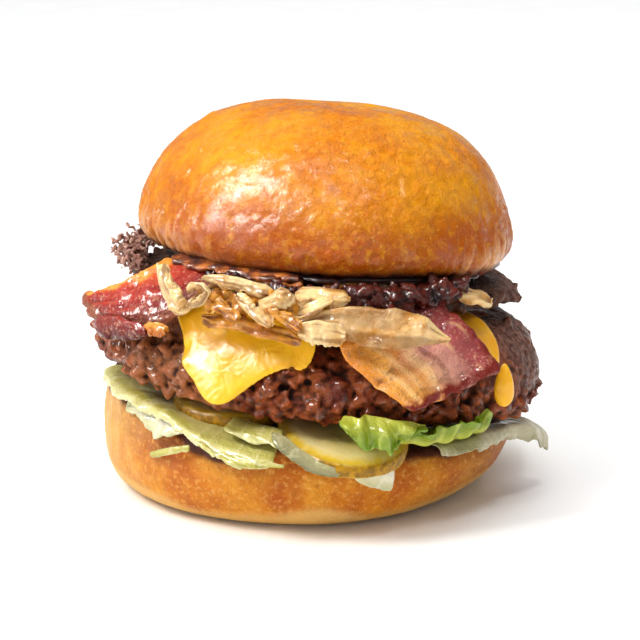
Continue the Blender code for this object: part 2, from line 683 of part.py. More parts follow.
# The two long edges of each fried onion strip, as azimuth, radius and height
ONIONS = {
    "onion_large": (
        [(-6, 56.0, 56.4), (4, 59.0, 59.8), (15, 61.0, 59.8), (24, 62.5, 56.4), (29.5, 65.0, 51.8)],
        [(-6, 57.0, 54.8), (4, 62.0, 52.8), (15, 64.5, 49.8), (24, 64.8, 50.4), (29.0, 65.2, 50.6)]),
    "onion_hook": (
        [(-43, 57.5, 67.0), (-39, 60.0, 61.5), (-33, 61.5, 56.0), (-29, 60.0, 59.0), (-27, 56.0, 62.8)],
        [(-41, 58.5, 67.4), (-36, 61.5, 62.5), (-31, 62.5, 59.4), (-29.5, 59.5, 61.6), (-26, 54.5, 64.2)]),
    "onion_upper": (
        [(-28, 49.0, 61.4), (-18, 49.6, 61.4), (-8, 50.6, 60.4), (2, 50.6, 60.2)],
        [(-26, 53.0, 60.4), (-18, 54.0, 59.4), (-8, 55.4, 57.8), (0, 54.6, 58.4)]),
    "onion_glossy": (
        [(-30, 57.6, 57.6), (-21, 58.2, 57.0), (-12, 58.8, 55.8), (-4, 59.4, 53.6)],
        [(-29, 60.0, 54.6), (-20, 60.4, 53.4), (-12, 60.8, 52.2), (-4, 61.0, 50.8)]),
    "onion_middle": (
        [(-8, 57.4, 58.8), (-2, 57.6, 60.6), (3, 56.4, 62.2)],
        [(-6, 59.8, 57.0), (-1, 60.2, 57.8), (4, 59.0, 60.2)]),
    "onion_right": (
        [(40, 48.0, 60.0), (47, 48.6, 59.0), (55, 49.4, 57.6)],
        [(41, 55.0, 57.0), (48, 55.6, 55.6), (55, 55.6, 54.6)]),
    "onion_back": (
        [(158, 49.0, 59.6), (168, 49.6, 59.8), (180, 49.6, 60.4)],
        [(158, 56.6, 55.6), (168, 57.0, 55.0), (180, 56.6, 56.4)]),
    "onion_back_left": (
        [(232, 50.0, 62.4), (244, 50.6, 62.6), (256, 50.6, 63.2)],
        [(232, 56.6, 58.6), (244, 57.0, 59.0), (256, 56.4, 60.2)]),
}


def onions(burger):
    for name, edges in ONIONS.items():
        strip(burger, name, ONION_COLOUR, ONION_THICKNESS, edges, 4 * len(edges[0]), ONION_CELLS_ACROSS,
              bulge=ONION_BULGE, ruffle=0.4, waves=1.5)


def centre_over_origin(solids):
    """Slide all the solids together so that the middle of their box is over the origin."""
    corners = [vertex.co for solid in solids for vertex in solid.data.vertices]
    middle = Vector((max(c.x for c in corners) + min(c.x for c in corners),
                     max(c.y for c in corners) + min(c.y for c in corners), 0.0)) / 2
    for solid in solids:
        solid.data.transform(Matrix.Translation(-middle))


def build():
    for leftover in list(bpy.data.objects):
        bpy.data.objects.remove(leftover, do_unlink=True)
    burger = Burger()
    heel(burger)
    lower_patty(burger)
    pickle(burger, "pickle_front", 7.5, 47.0, 1.0)
    pickle(burger, "pickle_left", -36.0, 38.5, 0.88)
    pickle(burger, "pickle_back", 166.0, 44.0, 0.95)
    lettuce(burger)
    cheese_slice(burger, "cheese_lower", ("bun_heel", "patty_lower"), 50.0, 37.0, 3.0,
                 ((38.0, 60.0, 17.0), (-52.0, -30.0, 4.0), (128.0, 150.0, 8.0)))
    upper_patty(burger)
    cheese_slice(burger, "cheese_upper", ("bun_heel", "patty_lower", "patty_upper"), -22.0, 36.5, 1.9,
                 ((-43.0, 3.0, 25.0), (-35.0, -17.0, 5.0), (150.0, 172.0, 7.0)))
    crown(burger)
    bacon(burger)
    onions(burger)
    centre_over_origin(burger.solids)


build()
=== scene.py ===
# %% [markdown]
# # A cheeseburger, dressed for the camera
# The imported model gives thirty plain solids that already have the right size and place. Here each one
# gets a fine surface and a finish. The fixed frame is loaded first. The dressed burger has to stay
# inside it.

# %% Load the frame
import itertools
import math

import bpy
import numpy as np
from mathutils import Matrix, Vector
from mathutils.bvhtree import BVHTree


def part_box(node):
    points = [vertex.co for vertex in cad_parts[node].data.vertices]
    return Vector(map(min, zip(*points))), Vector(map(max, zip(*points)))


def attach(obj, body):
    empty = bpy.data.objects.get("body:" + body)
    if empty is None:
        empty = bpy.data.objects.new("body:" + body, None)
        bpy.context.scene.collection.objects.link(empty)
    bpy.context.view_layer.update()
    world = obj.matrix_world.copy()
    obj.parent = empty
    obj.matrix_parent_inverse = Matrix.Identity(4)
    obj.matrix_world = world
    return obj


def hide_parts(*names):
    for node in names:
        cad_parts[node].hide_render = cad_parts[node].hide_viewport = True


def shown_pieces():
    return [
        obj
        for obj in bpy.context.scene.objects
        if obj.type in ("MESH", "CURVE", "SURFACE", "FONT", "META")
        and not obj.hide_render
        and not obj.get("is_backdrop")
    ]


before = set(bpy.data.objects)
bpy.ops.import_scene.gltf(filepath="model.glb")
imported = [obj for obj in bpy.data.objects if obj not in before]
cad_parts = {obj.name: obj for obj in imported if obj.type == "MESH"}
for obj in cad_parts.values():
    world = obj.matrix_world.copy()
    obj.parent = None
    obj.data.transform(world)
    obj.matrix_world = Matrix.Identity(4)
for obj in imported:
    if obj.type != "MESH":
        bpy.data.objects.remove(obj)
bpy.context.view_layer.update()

MILLIMETRE = 0.001

# %% [markdown]
# ## Camera
# The photo looks slightly down on the burger with a long lens, so that round things stay round. The
# target is a point on the axis, a little under half way up.

# %% Camera
LENS = 104.34
SENSOR = 36.0
ELEVATION = math.radians(13.0)
DISTANCE = 0.5
TARGET = Vector((0.0, 0.0, 0.043))

towards_camera = Vector((0.0, -math.cos(ELEVATION), math.sin(ELEVATION)))
bpy.ops.object.camera_add(location=TARGET + DISTANCE * towards_camera)
camera = bpy.context.object
camera.name = "camera"
camera.rotation_euler = (math.radians(90.0) - ELEVATION, 0.0, 0.0)
camera.data.lens = LENS
camera.data.sensor_width = SENSOR
camera.data.clip_start = 0.01
camera.data.clip_end = 100.0
bpy.context.scene.camera = camera
print("camera at", [round(value, 3) for value in camera.location], "with a lens of", LENS, "mm")

# %% [markdown]
# ## Light
# The photo has one big soft light at the upper left, which draws a broken highlight on the glazed
# crown, and a white room that fills the rest. Area lights are used because their size sets how soft
# a highlight is. The ceiling fills and draws no highlight, and the three shines draw highlights and
# fill nothing, so brightness and gloss can be matched to the photo one after the other.

# %% Lights
def area_light(name, azimuth, elevation, distance, size, watts, colour):
    """An area light at an azimuth (0 is the front) and elevation, which faces the burger."""
    turn = math.radians(azimuth)
    rise = math.radians(elevation)
    away = Vector((math.sin(turn) * math.cos(rise), -math.cos(turn) * math.cos(rise), math.sin(rise)))
    bpy.ops.object.light_add(type="AREA", location=TARGET + away * distance)
    light = bpy.context.object
    light.name = name
    light.data.size = size
    light.data.energy = watts
    light.data.color = colour
    light.rotation_euler = away.to_track_quat("Z", "Y").to_euler()


WARM = (1.0, 0.97, 0.93)
DAYLIGHT = (1.0, 0.98, 0.95)
LIGHTS = {
    # azimuth and elevation in degrees, distance and size in metres, watts, colour
    "window": (-64.0, 48.0, 0.9, 0.36, 6.4, WARM),
    "glints": (12.0, 62.0, 1.2, 0.12, 2.0, DAYLIGHT),
    "low_left": (-46.0, 12.0, 1.0, 0.22, 1.2, WARM),
    "front_fill": (35.0, 14.0, 1.6, 0.8, 1.2, (1.0, 0.98, 0.96)),
    "ceiling": (180.0, 78.0, 6.0, 8.0, 420.0, (1.0, 1.0, 1.0)),
    "window_shine": (-62.0, 48.0, 0.9, 0.46, 20.0, DAYLIGHT),
    "small_shine": (20.0, 60.0, 1.2, 0.12, 2.6, DAYLIGHT),
    "side_shine": (-76.0, 20.0, 1.0, 0.24, 9.0, DAYLIGHT),
}
for name, values in LIGHTS.items():
    area_light(name, *values)
bpy.data.objects["ceiling"].visible_glossy = False
for shine in ("window_shine", "small_shine", "side_shine"):
    bpy.data.objects[shine].visible_diffuse = False

world = bpy.data.worlds.new("white_room")
world.use_nodes = True
world.node_tree.nodes["Background"].inputs["Color"].default_value = (0.97, 0.98, 1.0, 1.0)
world.node_tree.nodes["Background"].inputs["Strength"].default_value = 0.32
bpy.context.scene.world = world
bpy.context.scene.view_settings.view_transform = "Standard"
print("lights", list(LIGHTS))

# %% [markdown]
# ## Tools for surfaces
# Modelling by hand starts with a selection. The loaded nodes are all selected, so everything is
# deselected before each operator, and `only` makes one piece the selected and active one.

# %% Select one piece and apply modifiers to it
def only(piece):
    bpy.ops.object.select_all(action="DESELECT")
    piece.select_set(True)
    bpy.context.view_layer.objects.active = piece


def shaped(piece, kind, **settings):
    """Adds a modifier to a piece, sets it and applies it."""
    only(piece)
    bpy.ops.object.modifier_add(type=kind)
    modifier = piece.modifiers[-1]
    for name, value in settings.items():
        setattr(modifier, name, value)
    bpy.ops.object.modifier_apply(modifier=modifier.name)


# %% [markdown]
# A copy of a node is merged into one skin first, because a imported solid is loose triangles. Pairs of
# triangles become quads again, a Subdivision Surface rounds the facets off, and a voxel Remesh then
# gives even little quads that can carry relief. This keeps each piece's true form, which a new
# primitive would lose.

# %% Smooth fine copy of a node
def merged_copy(node, name):
    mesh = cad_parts[node].data.copy()
    mesh.name = name
    mesh.materials.clear()
    piece = bpy.data.objects.new(name, mesh)
    bpy.context.scene.collection.objects.link(piece)
    only(piece)
    bpy.ops.mesh.customdata_custom_splitnormals_clear()
    bpy.ops.object.mode_set(mode="EDIT")
    bpy.ops.mesh.select_all(action="SELECT")
    bpy.ops.mesh.remove_doubles(threshold=0.00001)
    bpy.ops.mesh.tris_convert_to_quads()
    bpy.ops.object.mode_set(mode="OBJECT")
    return piece


def fine_copy(node, name, voxel, rounding=2, smoothing=4):
    """A rounded copy of a node with faces of about one voxel, in millimetres."""
    piece = merged_copy(node, name)
    shaped(piece, "SUBSURF", levels=rounding, render_levels=rounding)
    shaped(piece, "REMESH", mode="VOXEL", voxel_size=voxel * MILLIMETRE)
    shaped(piece, "SMOOTH", factor=0.5, iterations=smoothing)
    return piece


# %% [markdown]
# Relief is worked out for all points of a piece at once and in millimetres, so the points are read
# into one array, moved there, and written back.

# %% Points and normals
def places(piece):
    """Vertex places in millimetres."""
    flat = np.empty(len(piece.data.vertices) * 3)
    piece.data.vertices.foreach_get("co", flat)
    return flat.reshape(-1, 3) / MILLIMETRE


def place_all(piece, points):
    piece.data.vertices.foreach_set("co", (points * MILLIMETRE).ravel())
    piece.data.update()


def normals(piece):
    flat = np.empty(len(piece.data.vertices) * 3, np.float32)
    piece.data.vertex_normals.foreach_get("vector", flat)
    return flat.reshape(-1, 3).astype(float)


# %% [markdown]
# Noise starts from a random number for each cell of a grid. `grain` blends the numbers at a cell's
# corners into soft lumps of a given size, `layered` adds finer lumps, and `pebbles` is the distance to
# scattered centres. `eased` and `near` say where on the burger something happens.

# %% Noise and places
def scatter(cell, seed):
    """A random number from 0 to 1 for each whole-numbered cell."""
    mixed = np.sin(cell @ np.array([127.1, 311.7, 74.7]) + seed * 13.37) * 43758.5453
    return mixed - np.floor(mixed)


def grain(points, size, seed=0.0):
    """Smooth noise from -1 to 1 with lumps of a size in mm, which may differ for x, y and z."""
    place = points / np.asarray(size, float)
    cell = np.floor(place)
    share = place - cell
    share = share * share * (3.0 - 2.0 * share)
    total = np.zeros(len(points))
    for corner in itertools.product((0.0, 1.0), repeat=3):
        weight = np.prod(np.where(np.array(corner) > 0, share, 1.0 - share), axis=1)
        total += weight * scatter(cell + corner, seed)
    return total * 2.0 - 1.0


def layered(points, size, seed=0.0, layers=3):
    """Noise with finer and finer lumps on it."""
    sizes = [np.asarray(size, float) / 2 ** k for k in range(layers)]
    return sum(grain(points, s, seed + k) / 2 ** k for k, s in enumerate(sizes)) / 1.6


def pebbles(points, size, seed=0.0):
    """Distance to the nearest scattered centre, in cells of a size in mm: 0 on a centre."""
    place = points / np.asarray(size, float)
    cell = np.floor(place)
    nearest = np.full(len(points), 9.0)
    for corner in itertools.product((-1.0, 0.0, 1.0), repeat=3):
        other = cell + corner
        centre = other + np.stack([scatter(other, seed + k) for k in (1.0, 2.0, 3.0)], axis=1)
        nearest = np.minimum(nearest, np.linalg.norm(place - centre, axis=1))
    return nearest


def eased(start, end, value):
    """0 before start, 1 after end, and a smooth rise between them."""
    share = np.clip((value - start) / (end - start), 0.0, 1.0)
    return share * share * (3.0 - 2.0 * share)


def azimuth_of(points):
    """Degrees round the axis: 0 at the front, 90 at the right."""
    return np.degrees(np.arctan2(points[:, 0], -points[:, 1]))


def near(azimuth, centre, half_width):
    """1 at a centre azimuth, falling to 0 at half_width degrees to either side."""
    away = np.abs((azimuth - centre + 180.0) % 360.0 - 180.0)
    return 1.0 - eased(0.0, half_width, away)


# %% [markdown]
# A value averaged over neighbouring vertices shows what the surface does at a larger scale. A point
# that stands out from its average is on a crag, and one that lies below it is in a crack. Such
# values are noted on the mesh, where a material can read them.
# The finishes read this relief to paint shade in cracks and hollows, and light on crags.

# %% Averages and noted values
def spread(piece, values, times):
    """Values averaged with those of their neighbours, several times."""
    count = len(piece.data.vertices)
    pairs = np.empty(len(piece.data.edges) * 2, np.int32)
    piece.data.edges.foreach_get("vertices", pairs)
    a, b = pairs.reshape(-1, 2).T
    near_count = np.bincount(a, minlength=count) + np.bincount(b, minlength=count)
    result = values.reshape(count, -1).astype(float)
    for _ in range(times):
        around = np.stack([np.bincount(a, column[b], count) + np.bincount(b, column[a], count)
                           for column in result.T], axis=1)
        result = 0.5 * result + 0.5 * around / np.maximum(near_count, 1)[:, None]
    return result.reshape(values.shape)


def note(piece, name, values):
    """Keeps one number for each vertex, for a material to read."""
    kept = piece.data.attributes.new(name, "FLOAT", "POINT")
    kept.data.foreach_set("value", values.astype(np.float32))


def note_relief(piece, reach):
    """Keeps how far each point stands out of its surroundings, from about -1 in a crack to 1 on a crag."""
    points = places(piece)
    out = ((points - spread(piece, points, reach)) * normals(piece)).sum(axis=1)
    note(piece, "relief", np.clip(out / (2.0 * np.std(out) + 0.001), -1.0, 1.0))


# %% [markdown]
# ## Tools for finishes
# A colour is written as the sRGB hex value seen on the food, and turned to linear in one place. A
# pattern's size is written in millimetres. One method adds a node with its settings and links, and
# `tinted` lays colours over each other, so that a finish reads as a list of what is on the surface.
# Values that were noted on the mesh, such as its relief, are read by their names.

# %% Colours, nodes and materials
def linear(hex_colour):
    channels = [int(hex_colour[i:i + 2], 16) / 255 for i in (1, 3, 5)]
    return (*[c / 12.92 if c <= 0.04045 else ((c + 0.055) / 1.055) ** 2.4 for c in channels], 1.0)


def per(size):
    """Scale of a pattern whose features are size mm apart, on coordinates in metres."""
    return 1.0 / (size * MILLIMETRE)


USUAL = {"MapRange": {"interpolation_type": "SMOOTHSTEP"}, "Mix": {"data_type": "RGBA"}}


class Finish:
    """A material being made. Its add method makes one node with its settings, links and ramp stops."""

    def __init__(self, name):
        self.material = bpy.data.materials.new(name)
        self.material.use_nodes = True
        self.tree = self.material.node_tree
        self.shader = self.tree.nodes["Principled BSDF"]
        self.place = self.add("TexCoord").outputs["Object"]

    def add(self, kind, values=None, stops=(), **settings):
        made = self.tree.nodes.new("ShaderNode" + kind)
        if kind == "TexNoise":
            self.link(made, {"Vector": self.place})
        for name, value in {**USUAL.get(kind, {}), **settings}.items():
            setattr(made, name, value)
        self.link(made, values or {})
        for index, (position, colour) in enumerate(stops):
            elements = made.color_ramp.elements
            element = elements[index] if index < 2 else elements.new(position)
            element.position = position
            element.color = linear(colour)
        return made

    def link(self, made, values):
        """Sets sockets. A value is a number, a hex colour, a node, or the name of a noted value."""
        for name, value in values.items():
            usable = [s for s in made.inputs if s.enabled] if isinstance(name, str) else made.inputs
            socket = next(s for s in usable if s.name == name) if isinstance(name, str) else usable[name]
            if isinstance(value, str) and not value.startswith("#"):
                value = self.add("Attribute", attribute_name=value).outputs["Fac"]
            if isinstance(value, bpy.types.Node):
                value = next(s for s in value.outputs if s.enabled)
            if isinstance(value, bpy.types.NodeSocket):
                self.tree.links.new(value, socket)
            else:
                socket.default_value = linear(value) if isinstance(value, str) else value

    def tinted(self, colour, rows):
        """Colours laid over a first one. A row is a value, from and to on it, how much, and the colour."""
        for value, low, high, most, shade in rows:
            share = self.add("MapRange", {"Value": value, "From Min": low, "From Max": high, "To Max": most})
            colour = self.add("Mix", {"Factor": share, "A": colour, "B": shade})
        return colour


def dressed(piece, finish, slot, *nodes):
    """Gives a piece its material, parents it to the root and hides the nodes it replaces."""
    piece.data.materials.clear()
    piece.data.materials.append(finish.material)
    only(piece)
    bpy.ops.object.shade_smooth()
    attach(piece, "root")
    if nodes:
        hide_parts(*nodes)
    print(piece.name, len(piece.data.polygons), "faces")


# %% [markdown]
# ## Upper bun
# A brioche-style bun is brushed with egg before it is baked. Egg wash dries to a thin gloss over a
# deep golden crust, and the skin shrinks as it cools, which leaves a fine network of wrinkles, a few
# blisters and soft vertical pleats low on the sides, where the dough touched nothing and stayed pale.

# %% Upper bun
CROWN_VOXEL = 0.66
CROWN_MIDDLE = np.array([2.2, 0.0, 64.2])
CROWN_SKIRT = 16.0

# Each grain has its size in mm and its own seed, and is then multiplied by its height in mm.
crown = fine_copy("bun_crown", "bun_crown_glazed", CROWN_VOXEL, smoothing=10)
points = places(crown)
facing = normals(crown)
azimuth = azimuth_of(points - CROWN_MIDDLE)
height = points[:, 2] - CROWN_MIDDLE[2] + 0.07 * points[:, 0]
skirt = eased(CROWN_SKIRT, 3.0, height) * eased(-2.5, 0.5, height)
PLEATED = ((-68.0, 46.0), (66.0, 38.0), (190.0, 60.0))     # middle and half width, in degrees
pleat_sides = np.clip(sum(near(azimuth, middle, reach) for middle, reach in PLEATED), 0, 1)
around = np.stack([azimuth, height * 0.22, np.zeros(len(points))], axis=1)
pleats = 1.0 - np.abs(layered(around, (3.4, 4.0, 4.0), 5.0, 2)) * 2.2
skin = 1.0 - np.abs(layered(points, (3.2, 3.2, 2.4), 2.0, 2)) * 1.8
broad = grain(points, 24.0, 1.0) * 0.7 + grain(points, 11.0, 8.0) * 0.3 + grain(points, 6.5, 14.0) * 0.16
blister = eased(0.2, 0.05, pebbles(points, 9.0, 3.0))
dimples = eased(0.4, 0.1, pebbles(points, 5.2, 17.0)) * eased(0.0, 0.4, grain(points, 16.0, 19.0))
lip_ragged = eased(1.5, -1.2, height) * grain(around, (5.0, 3.0, 3.0), 9.0) * 0.5
rough = 0.5 + 0.5 * eased(-0.4, 0.4, grain(points, 18.0, 29.0))
rise = broad + skin * rough * 0.36 + pleats * skirt * pleat_sides
rise = rise + blister * 0.35 - dimples * 0.4 + lip_ragged
place_all(crown, points + facing * rise[:, None])
note(crown, "pleats", np.clip(pleats, 0.0, 1.0) * skirt * (0.35 + 0.65 * pleat_sides))
note(crown, "skirt", eased(CROWN_SKIRT * 0.9, 0.0, height) * (0.5 + 0.5 * pleat_sides))
note(crown, "under", eased(-0.55, -0.9, facing[:, 2]))
# Painted shade: the crust is darkened low down, and less so on the left, which the window lights.
low = eased(26.0, 4.0, height + grain(points, 12.0, 23.0) * 3.0)
note(crown, "low", low * (1.0 - 0.5 * near(azimuth, -80.0, 60.0)))

# %% [markdown]
# The crust is a slow ramp of golden browns, darker low down, with fine mottles and pale pleats. The
# egg glaze is a clear coat with wrinkles of its own. It is thick in some places and worn in others,
# which breaks the window's highlight up as the photo shows.

# %% Egg-washed crust
crust = Finish("egg_washed_crust")
patches = crust.add("TexNoise", {"Scale": per(21.0), "Detail": 2.0, "Roughness": 0.55})
mottle = crust.add("TexNoise", {"Scale": per(2.6), "Detail": 5.0, "Roughness": 0.7})
speckle = crust.add("TexNoise", {"Scale": per(0.9), "Detail": 2.0, "Roughness": 0.55})
char = crust.add("TexNoise", {"Scale": per(3.4), "Detail": 5.0, "Roughness": 0.7})
glaze = crust.add("TexNoise", {"Scale": per(6.0), "Detail": 4.0, "Roughness": 0.6})
wrinkles = crust.add("TexNoise", {"Scale": per(2.4), "Detail": 5.0, "Roughness": 0.65, "Distortion": 0.8})
pores = crust.add("TexNoise", {"Scale": per(0.7), "Detail": 3.0, "Roughness": 0.55})
egg_skin = crust.add("TexNoise", {"Scale": per(2.0), "Detail": 4.0, "Roughness": 0.7})

baked = crust.add("MapRange", {"Value": patches, "From Min": 0.3, "From Max": 0.72})
bake = crust.add("ValToRGB", {"Fac": baked}, stops=((0.0, "#E09200"), (1.0, "#C86A00"), (0.5, "#D47C00")))
bake = crust.tinted(bake, (
    # Painted shade: darker low down, away from the window.
    ("low", 0.0, 1.0, 0.9, "#A44200"),
    (mottle, 0.45, 0.7, 0.5, "#E09C1C"),
    (mottle, 0.5, 0.3, 0.4, "#A85E04"),
    # Pale specks, partly the crust's own colour and partly painted highlight.
    (speckle, 0.6, 0.78, 0.45, "#EDB84C"),
    ("skirt", 0.35, 1.0, 0.45, "#B8681C"),
    ("pleats", 0.2, 0.9, 0.75, "#E6AC74")))
charring = crust.add("MapRange", {"Value": char, "From Min": 0.35, "From Max": 0.7})
toast = crust.add("ValToRGB", {"Fac": charring}, stops=((0.0, "#200A06"), (1.0, "#6A2E10")))
bake = crust.add("Mix", {"Factor": "under", "A": bake, "B": toast})
satin = crust.add("MapRange", {
    "Value": glaze, "From Min": 0.3, "From Max": 0.7, "To Min": 0.32, "To Max": 0.5})
gloss = crust.add("MapRange", {
    "Value": glaze, "From Min": 0.35, "From Max": 0.65, "To Min": 0.8, "To Max": 0.08})
coarse = crust.add("Bump", {"Height": wrinkles, "Distance": 1.1 * MILLIMETRE})
fine = crust.add("Bump", {"Height": pores, "Distance": 0.3 * MILLIMETRE, "Normal": coarse})
glaze_relief = crust.add("Bump", {"Height": egg_skin, "Distance": 0.32 * MILLIMETRE})
crust.link(crust.shader, {
    "Base Color": bake, "Roughness": satin, "IOR": 1.4, "Specular IOR Level": 0.12,
    "Coat Weight": gloss, "Coat Roughness": 0.16, "Normal": fine, "Coat Normal": glaze_relief,
    "Subsurface Weight": 0.05, "Subsurface Scale": 0.002, "Subsurface Radius": (1.0, 0.5, 0.2)})
dressed(crown, crust, "bun_top", "bun_crown")

# %% [markdown]
# ## Lower bun
# The lower half has no glaze. It baked on a tray, so its side goes from golden brown at the cut to a
# pale band just above the foot, and the cut face was toasted dark on the griddle.

# %% Lower bun
HEEL_VOXEL = 0.7

heel = fine_copy("bun_heel", "bun_heel_baked", HEEL_VOXEL, smoothing=8)
points = places(heel)
facing = normals(heel)
azimuth = azimuth_of(points)
sides = eased(0.5, 4.0, points[:, 2])
around = np.stack([azimuth, points[:, 2] * 0.25, np.zeros(len(points))], axis=1)
streaks = 1.0 - np.abs(layered(around, (3.0, 5.0, 5.0), 4.0, 2)) * 2.0
wandering = azimuth + grain(points, (9.0, 9.0, 14.0), 41.0) * 9.0 + grain(points, 3.0, 43.0) * 3.0
# The left side faces the window. The crust is painted paler there, and its pale streaks are partly ridges of
# the crust and partly painted light.
left_side = np.clip(near(wandering, -82.0, 56.0) + 0.4 * near(wandering, 170.0, 80.0), 0, 1) * 0.8
low_lumps = grain(around, (17.0, 4.0, 4.0), 6.0)
rise = grain(points, 17.0, 2.0) * 0.55 + grain(points, 7.0, 3.0) * 0.2 + streaks * left_side * 0.22
rise = rise + layered(points, 3.0, 7.0) * 0.1 + low_lumps * 0.35 * eased(12.0, 5.0, points[:, 2])
place_all(heel, points + facing * (rise * sides)[:, None])
slope_top = 24.6 - 0.095 * points[:, 0] + 0.04 * points[:, 1]
note(heel, "streaks", np.clip(streaks, 0, 1) * left_side)
note(heel, "pale", np.clip(eased(8.5, 2.5, points[:, 2] - low_lumps * 2.5) + 0.8 * left_side, 0, 1))
# Under the hanging leaves the dark band reaches lower. That is painted shadow below the leaves, over the
# toasted cut.
cut_drop = 5.4 * near(azimuth, -28.0, 18.0) + 1.2 * near(azimuth, 40.0, 26.0)
note(heel, "cut", eased(-3.0, -0.6, points[:, 2] - slope_top + cut_drop + grain(points, 4.0, 12.0) * 1.2))
# Painted shade: the right side, away from the window, is marked to be darkened.
note(heel, "right", near(azimuth, 78.0, 60.0))
note(heel, "upper", eased(11.0, 22.0, points[:, 2] + low_lumps * 3.0 + grain(points, 8.0, 31.0) * 3.0))

# %% [markdown]
# A dry crust scatters light, so this finish has nearly no coat. The pale foot, the darker upper part
# and the toasted cut follow the height, so they were noted on the mesh. Painted light makes the left
# side paler, painted shade makes the right side darker, and the toasted cut reaches lower under the
# leaves as painted shadow.

# %% Unglazed crust
crumb = Finish("unglazed_crust")
patches = crumb.add("TexNoise", {"Scale": per(13.0), "Detail": 3.0, "Roughness": 0.55})
speckle = crumb.add("TexNoise", {"Scale": per(1.3), "Detail": 3.0, "Roughness": 0.65})
freckles = crumb.add("TexNoise", {"Scale": per(1.8), "Detail": 4.0, "Roughness": 0.7})
dryness = crumb.add("TexNoise", {"Scale": per(4.0), "Detail": 3.0, "Roughness": 0.55})
wrinkles = crumb.add("TexNoise", {"Scale": per(2.4), "Detail": 5.0, "Roughness": 0.7, "Distortion": 0.5})
pores = crumb.add("TexNoise", {"Scale": per(0.6), "Detail": 3.0, "Roughness": 0.55})

baked = crumb.add("MapRange", {"Value": patches, "From Min": 0.3, "From Max": 0.7})
bake = crumb.add("ValToRGB", {"Fac": baked}, stops=((0.0, "#DC9220"), (1.0, "#B45806"), (0.5, "#CA760C")))
bake = crumb.tinted(bake, (
    # Painted shade on the right side.
    ("right", 0.0, 1.0, 0.75, "#9E5620"),
    ("upper", 0.2, 1.0, 0.7, "#A04E0A"),
    (speckle, 0.48, 0.7, 0.55, "#E8B050"),
    (freckles, 0.5, 0.72, 0.5, "#9A4E10"),
    # The pale foot, and painted light on the window side.
    ("pale", 0.1, 0.9, 0.85, "#E2B464"),
    # Pale streaks, partly the crust's ridges and partly painted light.
    ("streaks", 0.4, 1.0, 0.45, "#EFD2A2"),
    # The toasted cut, with painted shadow under the leaves.
    ("cut", 0.0, 1.0, 1.0, "#4A1C0A")))
satin = crumb.add("MapRange", {
    "Value": dryness, "From Min": 0.3, "From Max": 0.7, "To Min": 0.45, "To Max": 0.65})
coarse = crumb.add("Bump", {"Height": wrinkles, "Distance": 1.0 * MILLIMETRE})
fine = crumb.add("Bump", {"Height": pores, "Distance": 0.28 * MILLIMETRE, "Normal": coarse})
crumb.link(crumb.shader, {
    "Base Color": bake, "Roughness": satin, "IOR": 1.4, "Specular IOR Level": 0.25,
    "Coat Weight": 0.06, "Coat Roughness": 0.3, "Normal": fine,
    "Subsurface Weight": 0.08, "Subsurface Scale": 0.002, "Subsurface Radius": (1.0, 0.6, 0.3)})
dressed(heel, crumb, "bun_base", "bun_heel")

# %% [markdown]
# ## Beef
# A burger patty is coarsely ground beef pressed into a disc and seared on a griddle. At its side the
# ground strands show as glossy lumps of two to four millimetres with dark cracks between them. One
# crumb is modelled as a small sphere, copied many times into the patty's side at random turns and
# sizes, and a voxel Remesh then fuses all of it into one craggy skin.

# %% One crumb of ground beef
bpy.ops.object.select_all(action="DESELECT")
bpy.ops.mesh.primitive_ico_sphere_add(subdivisions=2, radius=1.0)
crumb_model = bpy.context.object
crumb_model.name = "crumb_model"
crumb_points = np.array([v.co for v in crumb_model.data.vertices])
crumb_points *= (1.0 + 0.24 * grain(crumb_points * 10.0, 8.0, 4.0))[:, None]
crumb_faces = np.array([p.vertices for p in crumb_model.data.polygons])
bpy.data.objects.remove(crumb_model, do_unlink=True)
print("one crumb has", len(crumb_faces), "faces")


def crumbs_at(name, centres, sizes, draw, stretch=(1.0, 0.62)):
    """Copies of the crumb at some centres, each turned at random and squeezed by a random amount."""
    made_points = []
    made_faces = []
    for index, (centre, size) in enumerate(zip(centres, sizes)):
        squeeze = size * np.array([draw.uniform(1.0, 1.0 + stretch[0]), draw.uniform(stretch[1], 1.0), 0.75])
        turn, _ = np.linalg.qr(draw.normal(size=(3, 3)))
        made_points.append((crumb_points * squeeze) @ turn.T * np.sign(np.linalg.det(turn)) + centre)
        made_faces.append(crumb_faces + index * len(crumb_points))
    mesh = bpy.data.meshes.new(name)
    mesh.from_pydata((np.concatenate(made_points) * MILLIMETRE).tolist(), [],
                     np.concatenate(made_faces).tolist())
    piece = bpy.data.objects.new(name, mesh)
    bpy.context.scene.collection.objects.link(piece)
    return piece


# %% [markdown]
# Crumbs mustn't stand out through the cheese or bacon on top of them. A ray from inside the patty
# finds the covering piece, and a point beyond it is moved to just below it.

# %% Pressed under what lies on top
COVERED_FROM = 35.0     # mm from the axis, nearer to which nothing shows


def keep_under(piece, covers, clearance=0.3, reach=7.0):
    """Presses points in where they would stand out through a node that lies over the piece."""
    points = places(piece)
    outward = spread(piece, normals(piece), 30)
    outward /= np.maximum(np.linalg.norm(outward, axis=1), 0.001)[:, None]
    beyond = reach + clearance + 2.0
    for cover in covers:
        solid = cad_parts[cover]
        skin = BVHTree.FromPolygons([solid.matrix_world @ v.co / MILLIMETRE for v in solid.data.vertices],
                                    [p.vertices for p in solid.data.polygons])
        low, high = [np.array(corner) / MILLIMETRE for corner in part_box(cover)]
        inside = np.all((points > low - 3.0) & (points < high + 3.0), axis=1)
        for index in np.flatnonzero(inside & (np.hypot(points[:, 0], points[:, 1]) > COVERED_FROM)):
            start = points[index] - outward[index] * reach
            hit, _, _, distance = skin.ray_cast(Vector(start), Vector(outward[index]), beyond)
            if hit is not None and distance - clearance < reach:
                points[index] = start + outward[index] * (distance - clearance)
    place_all(piece, points)


